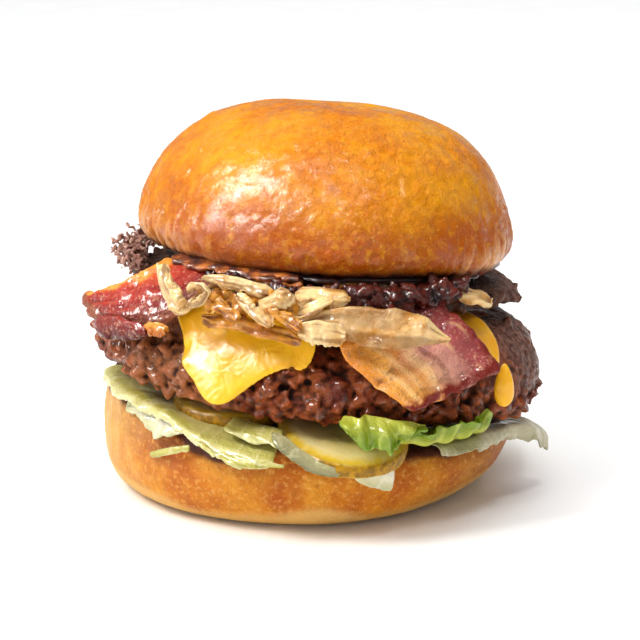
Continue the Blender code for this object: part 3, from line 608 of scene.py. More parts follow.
# %% [markdown]
# The crumbs sit half sunk in the side of the patty. Where the meat was pressed smooth they are sunk
# deeper. The hidden middle is thinned out again with Decimate, which works on the vertices of its
# group, and a second Decimate takes the little that is still over the limit for one piece.

# %% A patty of ground beef
BEEF_VOXEL = 0.46
HIDDEN_RADIUS = 43.0
PATTY_TRIANGLES = 190000     # a piece stays under 200,000, so that its file isn't thinned


def ground_beef(node, name, count, coarse, size, seed, covers):
    """A craggy copy of a patty. Coarse gives 0 for smooth meat to 1 for loose crumbs at each point."""
    draw = np.random.default_rng(seed)
    piece = fine_copy(node, name, 0.9, rounding=1, smoothing=3)
    points = places(piece)
    facing = normals(piece)
    radius = np.hypot(points[:, 0], points[:, 1])
    side = eased(0.93, 0.6, np.abs(facing[:, 2])) * eased(HIDDEN_RADIUS - 3.0, HIDDEN_RADIUS, radius)
    loose = coarse(points)
    hollows = eased(0.1, 0.7, layered(points, 5.5, seed, 2)) * 1.6
    place_all(piece, points - facing * (side * (0.4 + (1.0 + hollows) * loose))[:, None])
    wanted = side * (0.03 + loose ** 2)
    picked = draw.choice(len(points), count, replace=False, p=wanted / wanted.sum())
    sizes = size * draw.uniform(0.25, 1.0, count) ** 1.4 * (0.6 + 0.4 * loose[picked])
    centres = points[picked] - facing[picked] * (sizes * draw.uniform(0.35, 1.1, count))[:, None]
    crumbs = crumbs_at(name + "_crumbs", centres, sizes, draw, (0.9, 0.55))
    only(piece)
    crumbs.select_set(True)
    bpy.ops.object.join()
    shaped(piece, "REMESH", mode="VOXEL", voxel_size=BEEF_VOXEL * MILLIMETRE)
    shaped(piece, "SMOOTH", factor=0.5, iterations=4)
    points = places(piece)
    facing = normals(piece)
    fine = layered(points, 2.0, seed, 2) * 0.32 + grain(points, 6.0, seed + 1) * 0.4
    place_all(piece, points + facing * fine[:, None])
    keep_under(piece, covers)
    hidden = piece.vertex_groups.new(name="hidden_middle")
    radius = np.hypot(points[:, 0], points[:, 1])
    hidden.add(np.flatnonzero(radius < HIDDEN_RADIUS).tolist(), 1.0, "REPLACE")
    shaped(piece, "DECIMATE", ratio=0.5, vertex_group="hidden_middle")
    triangles = sum(len(face.vertices) - 2 for face in piece.data.polygons)
    shaped(piece, "DECIMATE", ratio=min(1.0, PATTY_TRIANGLES / triangles))
    note_relief(piece, 14)
    points = places(piece)
    note(piece, "loose", np.clip(coarse(points), 0.0, 1.0))
    # Painted light: the left front of the patty, which faces the window, is marked to be painted lighter.
    note(piece, "browned", near(azimuth_of(points), -42.0, 30.0))
    return piece


def lower_coarse(points):
    """The left and the front crumble, and on the right only a ragged lower edge does."""
    azimuth = azimuth_of(points)
    right = near(azimuth, 84.0, 62.0)
    edge = eased(4.0, 0.0, points[:, 2] - (31.5 - 0.105 * points[:, 0]))
    return np.clip(1.0 - right * (1.0 - edge) * 0.95 - 0.12 * grain(points, 9.0, 3.0), 0.0, 1.0)


def upper_coarse(points):
    azimuth = azimuth_of(points)
    return np.clip(1.0 - 0.85 * near(azimuth, 98.0, 70.0), 0.0, 1.0)


patty_lower = ground_beef("patty_lower", "patty_lower_seared", 1300, lower_coarse, 3.7, 11,
                          ("cheese_lower", "cheese_upper", "bacon_left", "bacon_right", "bacon_back"))
patty_upper = ground_beef("patty_upper", "patty_upper_seared", 800, upper_coarse, 2.6, 12,
                          ("cheese_upper", "bacon_left", "bacon_right", "bacon_back"))

# %% [markdown]
# Seared beef is a grey-brown crust over red-brown meat. The cracks are darkened nearly to black as
# painted shade, the crests are lightened as painted light, and the left front, which faces the window,
# is painted lighter too. Melted fat makes small sharp glints, which is why the clear coat is smoother
# than the meat below it.

# %% Beef finishes
def seared_beef(name, crest, meat, crack, browned, grease):
    beef = Finish(name)
    patches = beef.add("TexNoise", {"Scale": per(7.0), "Detail": 3.0, "Roughness": 0.55})
    pits = beef.add("TexNoise", {"Scale": per(2.6), "Detail": 3.0, "Roughness": 0.55})
    strands = beef.add("TexNoise", {"Scale": per(1.5), "Detail": 4.0, "Roughness": 0.65})
    fat = beef.add("TexNoise", {"Scale": per(1.6), "Detail": 3.0, "Roughness": 0.55})
    crags = beef.add("TexNoise", {"Scale": per(1.8), "Detail": 5.0, "Roughness": 0.72})
    pores = beef.add("TexNoise", {"Scale": per(0.6), "Detail": 3.0, "Roughness": 0.55})
    colour = beef.tinted(meat, (
        (patches, 0.3, 0.7, 1.0, crest),
        (pits, 0.55, 0.36, 0.75, crack)))
    pressed = beef.add("MapRange", {"Value": "loose", "From Min": 0.6, "From Max": 0.1})
    pressed_meat = beef.tinted("#4E2E22", ((strands, 0.35, 0.65, 1.0, "#8E6252"),))
    colour = beef.add("Mix", {"Factor": pressed, "A": colour, "B": pressed_meat})
    # The relief rows paint light on the crests and shade in the cracks.
    colour = beef.tinted(colour, (
        (strands, 0.5, 0.78, 0.5, "#9A6046"),
        ("relief", 0.1, 0.9, 0.45, crest),
        # Painted light on the side that faces the window.
        ("browned", 0.0, 1.0, 0.5, browned),
        ("relief", 0.15, -0.6, 1.0, crack)))
    wet = beef.add("MapRange", {"Value": fat, "From Min": 0.42, "From Max": 0.6, "To Max": grease})
    raised = beef.add("MapRange", {"Value": "relief", "From Min": -0.3, "From Max": 0.4})
    gloss = beef.add("Math", {0: wet, 1: raised}, operation="MULTIPLY")
    coarse = beef.add("Bump", {"Height": crags, "Distance": 1.2 * MILLIMETRE})
    fine = beef.add("Bump", {"Height": pores, "Distance": 0.35 * MILLIMETRE, "Normal": coarse})
    beef.link(beef.shader, {
        "Base Color": colour, "Roughness": 0.5, "IOR": 1.42, "Specular IOR Level": 0.15,
        "Coat Weight": gloss, "Coat Roughness": 0.14, "Normal": fine,
        "Subsurface Weight": 0.04, "Subsurface Scale": 0.0015, "Subsurface Radius": (1.0, 0.3, 0.2)})
    return beef


lower_beef = seared_beef("ground_beef_seared_in_fat", "#AC5624", "#661C08", "#140200", "#B87446", 0.85)
upper_beef = seared_beef("griddled_grey_beef", "#6A4838", "#452A20", "#120604", "#6A4030", 0.5)
frayed_beef = seared_beef("frayed_beef_strands", "#C89A88", "#9A6A5C", "#4A241C", "#A87868", 0.4)
dressed(patty_lower, lower_beef, "beef_lower", "patty_lower")
dressed(patty_upper, upper_beef, "beef_upper", "patty_upper")

# %% [markdown]
# ## Sheets and strips
# Leaves, bacon and onions are thin sheets. Their noise has to follow the sheet, so each point is told
# how far along it lies and how far across, measured from the sheet's two long edges. `sheet_side` is
# the direction to the sheet's outer side, the same for both of its faces, so a ruffle moves them
# together and keeps the thickness.

# %% Sheet places
LINE_POINTS = 60


def line_of(stops):
    """Evenly shared points along a line given by azimuth, radius and height."""
    stops = np.array(stops, float)
    share = np.linspace(0.0, len(stops) - 1.0, LINE_POINTS)
    azimuth, radius, height = [np.interp(share, np.arange(len(stops)), column) for column in stops.T]
    turn = np.radians(azimuth)
    return np.stack([np.sin(turn) * radius, -np.cos(turn) * radius, height], axis=1)


def between_lines(points, first, second):
    """Share of the way along two edge lines, and share of the way across from first to second."""
    gaps = []
    steps = []
    for line in (line_of(first), line_of(second)):
        away = np.stack([np.linalg.norm(points - stop, axis=1) for stop in line])
        gaps.append(away.min(axis=0))
        steps.append(away.argmin(axis=0) / (LINE_POINTS - 1.0))
    return (steps[0] + steps[1]) / 2, gaps[0] / (gaps[0] + gaps[1] + 0.001)


def steps_across(along, first, second):
    """The step from the first edge line to the second, for each point's share of the way along."""
    index = np.clip((along * (LINE_POINTS - 1)).astype(int), 0, LINE_POINTS - 1)
    return (line_of(second) - line_of(first))[index]


def sheet_side(piece, times=25):
    facing = normals(piece)
    points = places(piece)
    outward = np.stack([points[:, 0] / 60.0, points[:, 1] / 60.0, np.full(len(points), 0.8)], axis=1)
    facing *= np.sign((facing * outward).sum(axis=1))[:, None]
    facing = spread(piece, facing, times)
    return facing / np.maximum(np.linalg.norm(facing, axis=1), 0.001)[:, None]


# %% [markdown]
# ## Cheese
# The slices melted over hot beef. The lower rim of a melt is thick and round, its face keeps shallow
# ripples where it slid, and the light goes a little way in, which makes the thin rims look deeper
# yellow.

# %% Cheese
def melted_cheese(node, seed, runs):
    """A slice with ripples. Each run is a place on it, how far round it moves, and the move in mm."""
    piece = fine_copy(node, node + "_melted", 0.55, smoothing=3)
    points = places(piece)
    azimuth = azimuth_of(points)
    radius = np.hypot(points[:, 0], points[:, 1])
    outer = eased(40.0, 50.0, radius)
    around = np.stack([azimuth, points[:, 2], radius * 0.5], axis=1)
    ripples = grain(around, (8.0, 12.0, 12.0), seed) * 0.5 + grain(around, (4.2, 5.0, 5.0), seed + 1) * 0.08
    points = points + sheet_side(piece) * (ripples * outer)[:, None]
    for centre, reach, move in runs:
        middle = line_of([centre, centre])[0]
        share = eased(reach, reach * 0.25, np.linalg.norm(points - middle, axis=1))
        points = points + share[:, None] * np.array(move)
    place_all(piece, points)
    note_relief(piece, 20)
    return piece


def cheese_finish(name, face, edge, toasted):
    cheese = Finish(name)
    patches = cheese.add("TexNoise", {"Scale": per(9.0), "Detail": 2.0, "Roughness": 0.55})
    browning = cheese.add("TexNoise", {"Scale": per(6.0), "Detail": 4.0, "Roughness": 0.6})
    sweat = cheese.add("TexNoise", {"Scale": per(5.0), "Detail": 2.0, "Roughness": 0.55})
    ripples = cheese.add("TexNoise", {"Scale": per(5.0), "Detail": 2.0, "Roughness": 0.55, "Distortion": 0.8})
    pores = cheese.add("TexNoise", {"Scale": per(1.2), "Detail": 2.0, "Roughness": 0.55})
    colour = cheese.tinted(face, (
        (patches, 0.35, 0.7, 0.8, edge),
        (browning, 0.62, 0.78, 0.4, toasted),
        # Painted shade in the hollows of the ripples.
        ("relief", -0.2, -1.0, 0.5, toasted)))
    colour = cheese.add("Mix", {"Factor": "cream", "A": colour, "B": "#F3D6A0"})
    gloss = cheese.add("MapRange", {
        "Value": sweat, "From Min": 0.4, "From Max": 0.65, "To Min": 0.05, "To Max": 0.5})
    coarse = cheese.add("Bump", {"Height": ripples, "Distance": 0.6 * MILLIMETRE})
    fine = cheese.add("Bump", {"Height": pores, "Distance": 0.06 * MILLIMETRE, "Normal": coarse})
    cheese.link(cheese.shader, {
        "Base Color": colour, "Roughness": 0.34, "IOR": 1.42, "Specular IOR Level": 0.4,
        "Coat Weight": gloss, "Coat Roughness": 0.1, "Normal": fine,
        "Subsurface Weight": 0.15, "Subsurface Scale": 0.003, "Subsurface Radius": (1.0, 0.6, 0.15)})
    return cheese


FRONT_RUNS = [
    ((0.0, 61.0, 47.0), 11.0, (1.5, -2.6, -6.5)),
    ((-24.0, 61.5, 41.0), 8.0, (-0.8, -0.8, -2.4)),
    ((-40.0, 59.0, 49.0), 8.0, (2.0, 0.0, -1.5)),
]
FAT_AZIMUTH, FAT_HEIGHT = 41.4, 48.9     # a pale spot of fat on the cheese between bacon and beef
upper_cheese = melted_cheese("cheese_upper", 21.0, FRONT_RUNS)
lower_cheese = melted_cheese("cheese_lower", 24.0, [])
for cheese_slice in (upper_cheese, lower_cheese):
    points = places(cheese_slice)
    from_fat = np.hypot((azimuth_of(points) - FAT_AZIMUTH) / 2.0, (points[:, 2] - FAT_HEIGHT) / 3.4)
    note(cheese_slice, "cream", eased(1.15, 0.85, from_fat))
dressed(upper_cheese, cheese_finish("melted_yellow_cheese", "#F4BC22", "#EEA910", "#C87A08"),
        "cheese", "cheese_upper")
dressed(lower_cheese, cheese_finish("melted_cheese_with_fat", "#F5B41A", "#EA9C0C", "#C06C08"),
        "cheese", "cheese_lower")

# %% [markdown]
# ## Bacon
# A rasher is lean meat with bands of fat along it. As it fries the fat turns translucent orange, the
# lean shrinks to a dark red, and the whole strip ripples across its length. Both colours are driven
# by the share across the strip, bent by noise so that the bands wander.

# %% Bacon
def rasher(node, first, second, ripple, seed):
    piece = fine_copy(node, node + "_fried", 0.42, smoothing=3)
    points = places(piece)
    along, across = between_lines(points, first, second)
    bend = grain(points, 9.0, seed + 8) * 3.0
    length = np.stack([along * 60.0 + bend, across * 20.0 + bend * 0.5, bend], axis=1)
    bands = grain(length, (26.0, 3.4, 4.0), seed)
    fibres = grain(length, (15.0, 1.3, 4.0), seed + 5)
    waves = np.sin(along * 34.0 + grain(length, (16.0, 12.0, 4.0), seed + 1) * 3.0) * ripple
    lift = waves + bands * 0.6 + fibres * 0.28 + layered(points, 4.6, seed + 2, 2) * 0.8
    end = np.linspace(line_of(first)[0], line_of(second)[0], 40)
    from_end = np.min([np.linalg.norm(points - stop, axis=1) for stop in end], axis=0)
    end_rim = eased(3.6, 1.8, from_end + grain(points, 3.0, seed + 7))
    rim = np.clip(end_rim + eased(0.9, 0.97, across), 0.0, 1.0)
    knobs = rim * (0.6 + 0.6 * grain(points, 2.4, seed + 6))
    place_all(piece, points + sheet_side(piece) * lift[:, None] + normals(piece) * knobs[:, None])
    note_relief(piece, 9)
    note(piece, "across", across)
    note(piece, "bands", bands)
    note(piece, "fibres", fibres)
    note(piece, "rim", rim)
    return piece


def bacon_finish(name, stops, wander, rim_colour, streak):
    """Colour stops across the rasher, from its first edge line to its second."""
    bacon = Finish(name)
    winding = bacon.add("TexNoise", {"Scale": per(7.0), "Detail": 3.0, "Roughness": 0.55})
    speckle = bacon.add("TexNoise", {"Scale": per(0.9), "Detail": 4.0, "Roughness": 0.7})
    spots = bacon.add("TexNoise", {"Scale": per(2.0), "Detail": 5.0, "Roughness": 0.7})
    char = bacon.add("TexNoise", {"Scale": per(3.0), "Detail": 3.0, "Roughness": 0.55})
    fat = bacon.add("TexNoise", {"Scale": per(2.0), "Detail": 3.0, "Roughness": 0.55})
    puckers = bacon.add("TexNoise", {"Scale": per(2.4), "Detail": 4.0, "Roughness": 0.65})
    pores = bacon.add("TexNoise", {"Scale": per(0.6), "Detail": 3.0, "Roughness": 0.55})
    shift = bacon.add("Math", {0: winding, 1: 0.5}, operation="SUBTRACT")
    shift = bacon.add("Math", {0: shift, 1: wander, 2: "across"}, operation="MULTIPLY_ADD")
    shift = bacon.add("Math", {0: "bands", 1: 0.1, 2: shift}, operation="MULTIPLY_ADD")
    colour = bacon.add("ValToRGB", {"Fac": shift}, stops=stops)
    colour = bacon.tinted(colour, (
        ("fibres", 0.1, 0.7, 0.5, streak),
        ("fibres", -0.2, -0.7, 0.4, rim_colour),
        (speckle, 0.52, 0.7, 0.5, "#F0BE94"),
        (spots, 0.56, 0.72, 0.5, "#6A1C0C"),
        # Painted shade in the hollows between the ripples.
        ("relief", 0.0, -0.9, 0.4, "#3A0E0C")))
    charring = bacon.add("MapRange", {"Value": char, "From Min": 0.28, "From Max": 0.5})
    charred_rim = bacon.add("Math", {0: "rim", 1: charring}, operation="MULTIPLY")
    colour = bacon.add("Mix", {"Factor": charred_rim, "A": colour, "B": rim_colour})
    gloss = bacon.add("MapRange", {
        "Value": fat, "From Min": 0.42, "From Max": 0.62, "To Min": 0.05, "To Max": 0.7})
    coarse = bacon.add("Bump", {"Height": puckers, "Distance": 0.8 * MILLIMETRE})
    fine = bacon.add("Bump", {"Height": pores, "Distance": 0.2 * MILLIMETRE, "Normal": coarse})
    bacon.link(bacon.shader, {
        "Base Color": colour, "Roughness": 0.42, "IOR": 1.42, "Specular IOR Level": 0.2,
        "Coat Weight": gloss, "Coat Roughness": 0.12, "Normal": fine,
        "Subsurface Weight": 0.05, "Subsurface Scale": 0.002, "Subsurface Radius": (1.0, 0.4, 0.25)})
    return bacon


# %% [markdown]
# The left rasher shows its red lean and a rim of fat, the right one is streaky and lies flat, and the
# strip under the bun is nearly burnt. Each has its own row of colours across it.

# %% The four rashers
# The two edge lines of each rasher. A stop is its azimuth in degrees, then radius and height in mm.
LEFT_EDGES = ([(-76, 62.0, 52.6), (-58, 59.5, 59.6), (-52, 52.5, 64.6), (-58, 42.0, 65.4), (-80, 28.0, 64.4)],
              [(-63, 64.0, 50.2), (-49, 62.0, 51.2), (-38, 59.5, 54.0), (-31, 49.0, 62.0), (-26, 30.0, 63.4)])
RIGHT_EDGES = ([(20.5, 64.4, 34.2), (12, 63.0, 40.6), (5, 60.0, 48.6), (2, 51.0, 59.0), (-4, 32.0, 62.4)],
               [(41.8, 66.4, 41.8), (39, 63.0, 48.6), (36, 57.0, 55.0), (36, 46.0, 60.6), (52, 29.0, 61.6)])
CRISP_EDGES = ([(-30, 42.0, 62.6), (-18, 42.0, 62.4), (-5, 42.0, 62.2)],
               [(-31, 49.6, 63.4), (-18, 50.0, 63.0), (-4, 50.2, 62.8)])
BACK_EDGES = ([(192, 63.5, 43.0), (192, 59.5, 51.0), (192, 51.0, 59.0), (190, 34.0, 62.4)],
              [(218, 64.0, 45.0), (218, 60.0, 53.0), (220, 51.0, 60.6), (226, 34.0, 63.0)])

bacon_left = rasher("bacon_left", *LEFT_EDGES, 0.35, 31.0)
dressed(bacon_left, bacon_finish("fried_bacon_red_lean", (
    (0.0, "#E68C22"), (1.0, "#8E7060"), (0.15, "#EE9A34"), (0.23, "#C4440A"), (0.36, "#A01404"),
    (0.78, "#840C04"), (0.93, "#7A3A2C")), 0.2, "#8A4A2C", "#C2401C"), "bacon", "bacon_left")
bacon_right = rasher("bacon_right", *RIGHT_EDGES, 0.4, 35.0)
dressed(bacon_right, bacon_finish("fried_bacon_streaky", (
    (0.0, "#E28420"), (1.0, "#8A2C30"), (0.16, "#F4AC4C"), (0.3, "#E09048"), (0.44, "#DCA07C"),
    (0.58, "#D09080"), (0.74, "#A04A48")), 0.3, "#741A0C", "#FFD490"), "bacon", "bacon_right")
bacon_crisp = rasher("bacon_crisp", *CRISP_EDGES, 0.3, 39.0)
dressed(bacon_crisp, bacon_finish("fried_bacon_crisp", (
    (0.0, "#5A1A0A"), (1.0, "#A85418"), (0.5, "#6E240C"), (0.8, "#B86A22")), 0.5, "#2A0A06", "#B86A22"),
    "bacon", "bacon_crisp")
bacon_back = rasher("bacon_back", *BACK_EDGES, 0.4, 43.0)
dressed(bacon_back, bacon_finish("fried_bacon_back", (
    (0.0, "#D08030"), (1.0, "#9A7A68"), (0.3, "#A8340F"), (0.6, "#7E180C"), (0.85, "#B06A48")), 0.3,
    "#5E120A", "#D08A50"), "bacon", "bacon_back")

# %% [markdown]
# ## Fried onions
# Each strip of onion is a few translucent layers with fine lines along it. Frying turns it amber and
# leaves it wet with fat, so it has subsurface light and a sharp coat.

# %% Onions
ONION_EDGES = {
    # the upper and the lower edge line of each strip
    "onion_large": (
        [(-6, 56.0, 56.4), (4, 59.0, 59.8), (15, 61.0, 59.8), (24, 62.5, 56.4), (29.5, 65.0, 51.8)],
        [(-6, 57.0, 54.8), (4, 62.0, 52.8), (15, 64.5, 49.8), (24, 64.8, 50.4), (29.0, 65.2, 50.6)]),
    "onion_hook": (
        [(-43, 57.5, 67.0), (-39, 60.0, 61.5), (-33, 61.5, 56.0), (-29, 60.0, 59.0), (-27, 56.0, 62.8)],
        [(-41, 58.5, 67.4), (-36, 61.5, 62.5), (-31, 62.5, 59.4), (-29.5, 59.5, 61.6), (-26, 54.5, 64.2)]),
    "onion_upper": (
        [(-28, 49.0, 61.4), (-18, 49.6, 61.4), (-8, 50.6, 60.4), (2, 50.6, 60.2)],
        [(-26, 53.0, 60.4), (-18, 54.0, 59.4), (-8, 55.4, 57.8), (0, 54.6, 58.4)]),
    "onion_glossy": (
        [(-30, 57.6, 57.6), (-21, 58.2, 57.0), (-12, 58.8, 55.8), (-4, 59.4, 53.6)],
        [(-29, 60.0, 54.6), (-20, 60.4, 53.4), (-12, 60.8, 52.2), (-4, 61.0, 50.8)]),
    "onion_middle": (
        [(-8, 57.4, 58.8), (-2, 57.6, 60.6), (3, 56.4, 62.2)],
        [(-6, 59.8, 57.0), (-1, 60.2, 57.8), (4, 59.0, 60.2)]),
    "onion_right": (
        [(40, 48.0, 60.0), (47, 48.6, 59.0), (55, 49.4, 57.6)],
        [(41, 55.0, 57.0), (48, 55.6, 55.6), (55, 55.6, 54.6)]),
    "onion_back": (
        [(158, 49.0, 59.6), (168, 49.6, 59.8), (180, 49.6, 60.4)],
        [(158, 56.6, 55.6), (168, 57.0, 55.0), (180, 56.6, 56.4)]),
    "onion_back_left": (
        [(232, 50.0, 62.4), (244, 50.6, 62.6), (256, 50.6, 63.2)],
        [(232, 56.6, 58.6), (244, 57.0, 59.0), (256, 56.4, 60.2)]),
}


def fried_onion(node, seed, lumpy):
    piece = fine_copy(node, node + "_fried", 0.36, smoothing=3)
    points = places(piece)
    along, across = between_lines(points, *ONION_EDGES[node])
    length = np.stack([along * 40.0, across * 10.0, np.zeros(len(points))], axis=1)
    lines = grain(length, (18.0, 1.5, 4.0), seed)
    lift = lines * 0.5 + (grain(points, 6.0, seed + 1) * 0.9 + grain(points, 2.6, seed + 2) * 0.35) * lumpy
    if node == "onion_large":
        lift = lift + 2.2 * np.exp(-((along - 0.72) / 0.09) ** 2 - ((across - 0.35) / 0.3) ** 2)
    torn = grain(points, 3.6, seed + 3) * 0.5 * lumpy * eased(0.3, 0.5, abs(across - 0.5))
    ends = np.clip(eased(0.14, 0.0, along) + eased(0.86, 1.0, along), 0.0, 1.0) * (0.5 - across) * 0.7
    points = points + sheet_side(piece) * lift[:, None] + normals(piece) * torn[:, None]
    place_all(piece, points + steps_across(along, *ONION_EDGES[node]) * ends[:, None])
    note_relief(piece, 10)
    note(piece, "lines", lines)
    return piece


def onion_finish(name, light, deep, brown, browning):
    onion = Finish(name)
    patches = onion.add("TexNoise", {"Scale": per(5.0), "Detail": 3.0, "Roughness": 0.55})
    caramel = onion.add("TexNoise", {"Scale": per(3.2), "Detail": 4.0, "Roughness": 0.6})
    fat = onion.add("TexNoise", {"Scale": per(2.4), "Detail": 3.0, "Roughness": 0.55})
    puckers = onion.add("TexNoise", {"Scale": per(1.8), "Detail": 4.0, "Roughness": 0.6})
    pores = onion.add("TexNoise", {"Scale": per(0.5), "Detail": 2.0, "Roughness": 0.55})
    colour = onion.tinted(light, (
        (patches, 0.35, 0.7, 1.0, deep),
        ("lines", 0.0, 0.7, 0.9, light),
        ("lines", -0.05, -0.6, 0.6, brown),
        (caramel, 0.5, 0.75, browning, brown),
        # Painted shade in the hollows of the strip.
        ("relief", -0.1, -0.9, 0.6, brown)))
    gloss = onion.add("MapRange", {
        "Value": fat, "From Min": 0.4, "From Max": 0.62, "To Min": 0.1, "To Max": 0.7})
    coarse = onion.add("Bump", {"Height": puckers, "Distance": 0.6 * MILLIMETRE})
    fine = onion.add("Bump", {"Height": pores, "Distance": 0.12 * MILLIMETRE, "Normal": coarse})
    onion.link(onion.shader, {
        "Base Color": colour, "Roughness": 0.36, "IOR": 1.42, "Specular IOR Level": 0.2,
        "Coat Weight": gloss, "Coat Roughness": 0.12, "Normal": fine,
        "Subsurface Weight": 0.3, "Subsurface Scale": 0.003, "Subsurface Radius": (1.0, 0.6, 0.25)})
    return onion


# %% [markdown]
# Onions brown as they fry. The three finishes differ in how far that has gone, and the amber one was
# left longest in the fat.

# %% The eight onions
golden_onion = onion_finish("fried_onion_golden", "#ECC88C", "#C08636", "#704012", 0.45)
amber_onion = onion_finish("fried_onion_amber", "#D2902E", "#9C5A12", "#522406", 0.6)
pale_onion = onion_finish("fried_onion_pale", "#E2C48E", "#BA8C4A", "#74400E", 0.5)
finishes = {"onion_hook": pale_onion, "onion_large": golden_onion, "onion_glossy": amber_onion,
            "onion_upper": golden_onion}
for index, node in enumerate(ONION_EDGES):
    lumpy = {"onion_glossy": 2.4, "onion_upper": 1.5, "onion_back": 1.6}.get(node, 1.1)
    dressed(fried_onion(node, 50.0 + index * 3, lumpy), finishes.get(node, golden_onion), "onion", node)

# %% [markdown]
# The photo shows more strips than the solids do: thin curls that lie over each other in the gap
# under the crown. Each one is a grid plane laid between two edge lines, bulged and wrinkled, given a
# thickness with Solidify and rounded with a Subdivision Surface.

# %% Thin strips laid between two lines
def strip_between(name, first, second, thickness, bulge, wrinkle, seed,
                  torn=0.0, columns=90, rows=14, wave=7.0):
    """A strip between two edge lines, in mm, tapered at its ends and torn along its second edge."""
    bpy.ops.object.select_all(action="DESELECT")
    bpy.ops.mesh.primitive_grid_add(x_subdivisions=columns, y_subdivisions=rows, size=1.0)
    piece = bpy.context.object
    piece.name = name
    unit = places(piece) * MILLIMETRE + 0.5
    along, across = np.clip(unit[:, 0], 0.0, 1.0), np.clip(unit[:, 1], 0.0, 1.0)
    place = along * (LINE_POINTS - 1.0)
    steps = np.arange(LINE_POINTS)
    sides = [np.stack([np.interp(place, steps, column) for column in line_of(stops).T], axis=1)
             for stops in (first, second)]
    ladder = sides[1] - sides[0]
    width = np.linalg.norm(ladder, axis=1)
    length = np.stack([along * 40.0, across * 12.0, np.zeros(len(along))], axis=1)
    pull = layered(length, (4.0, 30.0, 4.0), seed + 4, 3) * torn * eased(0.5, 1.0, across)
    pull = pull / np.maximum(width, 1.0)
    ends = 0.3 + 0.7 * eased(0.0, 0.14, along) * eased(1.0, 0.86, along)
    points = sides[0] + ladder * (0.5 + (across - 0.5 + pull) * ends)[:, None]
    outward = points / np.linalg.norm(points * (1.0, 1.0, 0.0), axis=1)[:, None] * (1.0, 1.0, 0.0)
    lift = bulge * np.sin(np.pi * across) + grain(length, (wave, 5.0, 4.0), seed) * wrinkle
    lift = lift + grain(length, (16.0, 1.4, 4.0), seed + 1) * 0.15
    lift = lift + grain(length, (2.8, 7.0, 4.0), seed + 3) * torn * 0.55 * eased(0.4, 1.0, across)
    place_all(piece, points + outward * lift[:, None])
    note(piece, "across", across)
    note(piece, "lines", grain(length, (18.0, 1.5, 4.0), seed))
    note(piece, "veins", 1.0 - np.abs(grain(length, (2.2, 9.0, 4.0), seed + 2)) * 2.0)
    shaped(piece, "SOLIDIFY", thickness=thickness * MILLIMETRE, offset=0.0)
    shaped(piece, "SUBSURF", levels=1, render_levels=1)
    only(piece)
    bpy.ops.object.mode_set(mode="EDIT")
    bpy.ops.mesh.select_all(action="SELECT")
    bpy.ops.mesh.normals_make_consistent(inside=False)
    bpy.ops.object.mode_set(mode="OBJECT")
    note_relief(piece, 6)
    return piece


# %% [markdown]
# Nine curls fill the gap. Wet amber ones lie behind, and pale dry ones stick out in front of them.

# %% Curls of onion
CURLS = {
    # finish, thickness in mm, and the two edge lines
    "curl_hook": (pale_onion, 1.8,
                  [(-38.9, 60.5, 67.6), (-37.6, 62.0, 64.0), (-35.8, 63.0, 59.8), (-33.0, 63.5, 57.0)],
                  [(-38.2, 60.5, 67.6), (-34.1, 62.5, 64.4), (-31.4, 63.0, 61.6), (-30.0, 63.2, 59.8)]),
    "curl_upper": (pale_onion, 0.9,
                   [(-29.6, 57.0, 65.4), (-24.0, 56.0, 66.0), (-17.5, 55.5, 64.8), (-11.3, 55.0, 63.0)],
                   [(-28.1, 58.0, 64.9), (-23.3, 57.5, 63.2), (-17.0, 57.0, 62.0), (-10.9, 56.5, 60.9)]),
    "curl_spike": (pale_onion, 0.8,
                   [(-15.2, 59.0, 60.3), (-11.7, 58.5, 62.3), (-8.5, 57.5, 64.9)],
                   [(-11.8, 60.0, 58.3), (-7.8, 59.5, 59.3), (-5.1, 58.5, 61.1)]),
    "curl_behind": (golden_onion, 0.7,
                    [(-6.0, 54.0, 63.4), (0.0, 54.0, 63.4), (8.0, 54.0, 62.4)],
                    [(-6.5, 56.0, 60.3), (0.0, 56.0, 59.6), (7.0, 56.0, 58.8)]),
    "curl_ring": (pale_onion, 1.3,
                  [(-31.8, 61.0, 62.4), (-30.5, 60.5, 63.9), (-27.8, 60.0, 64.3), (-25.7, 60.0, 62.6),
                   (-27.0, 60.5, 59.6), (-30.2, 61.0, 58.1)],
                  [(-29.9, 61.5, 61.9), (-29.1, 61.0, 62.9), (-27.8, 60.5, 63.0), (-27.0, 60.5, 62.1),
                   (-27.8, 61.0, 60.6), (-29.4, 61.5, 60.0)]),
    "curl_wet_left": (amber_onion, 1.1,
                      [(-28.5, 58.5, 60.8), (-25.0, 60.0, 58.5), (-19.9, 61.5, 55.9)],
                      [(-26.3, 58.5, 62.5), (-22.4, 60.0, 60.0), (-16.8, 61.5, 57.6)]),
    "curl_wet_middle": (golden_onion, 1.0,
                        [(-21.3, 58.0, 61.4), (-17.5, 60.0, 58.6), (-12.8, 61.8, 55.0)],
                        [(-18.2, 58.0, 62.6), (-14.2, 60.0, 59.8), (-8.8, 61.8, 56.1)]),
    "curl_wet_right": (amber_onion, 1.0,
                       [(-13.2, 60.0, 58.4), (-8.9, 61.2, 56.5), (-4.4, 62.0, 53.9)],
                       [(-11.4, 60.0, 60.2), (-6.6, 61.2, 58.2), (-3.0, 62.0, 56.3)]),
    "curl_flap": (pale_onion, 0.9,
                  [(-5.3, 61.0, 56.3), (-0.4, 61.5, 57.4), (5.4, 62.5, 55.9)],
                  [(-4.3, 62.5, 52.6), (0.0, 63.0, 51.3), (5.5, 63.5, 51.3)]),
}
for index, (name, (finish, thickness, first, second)) in enumerate(CURLS.items()):
    dressed(strip_between(name, first, second, thickness, 0.7, 0.8, 140.0 + index * 7, torn=0.9),
            finish, "onion")

# %% [markdown]
# The left rasher is folded under itself, and a scrap of its fat lies on the patty beside the fold.

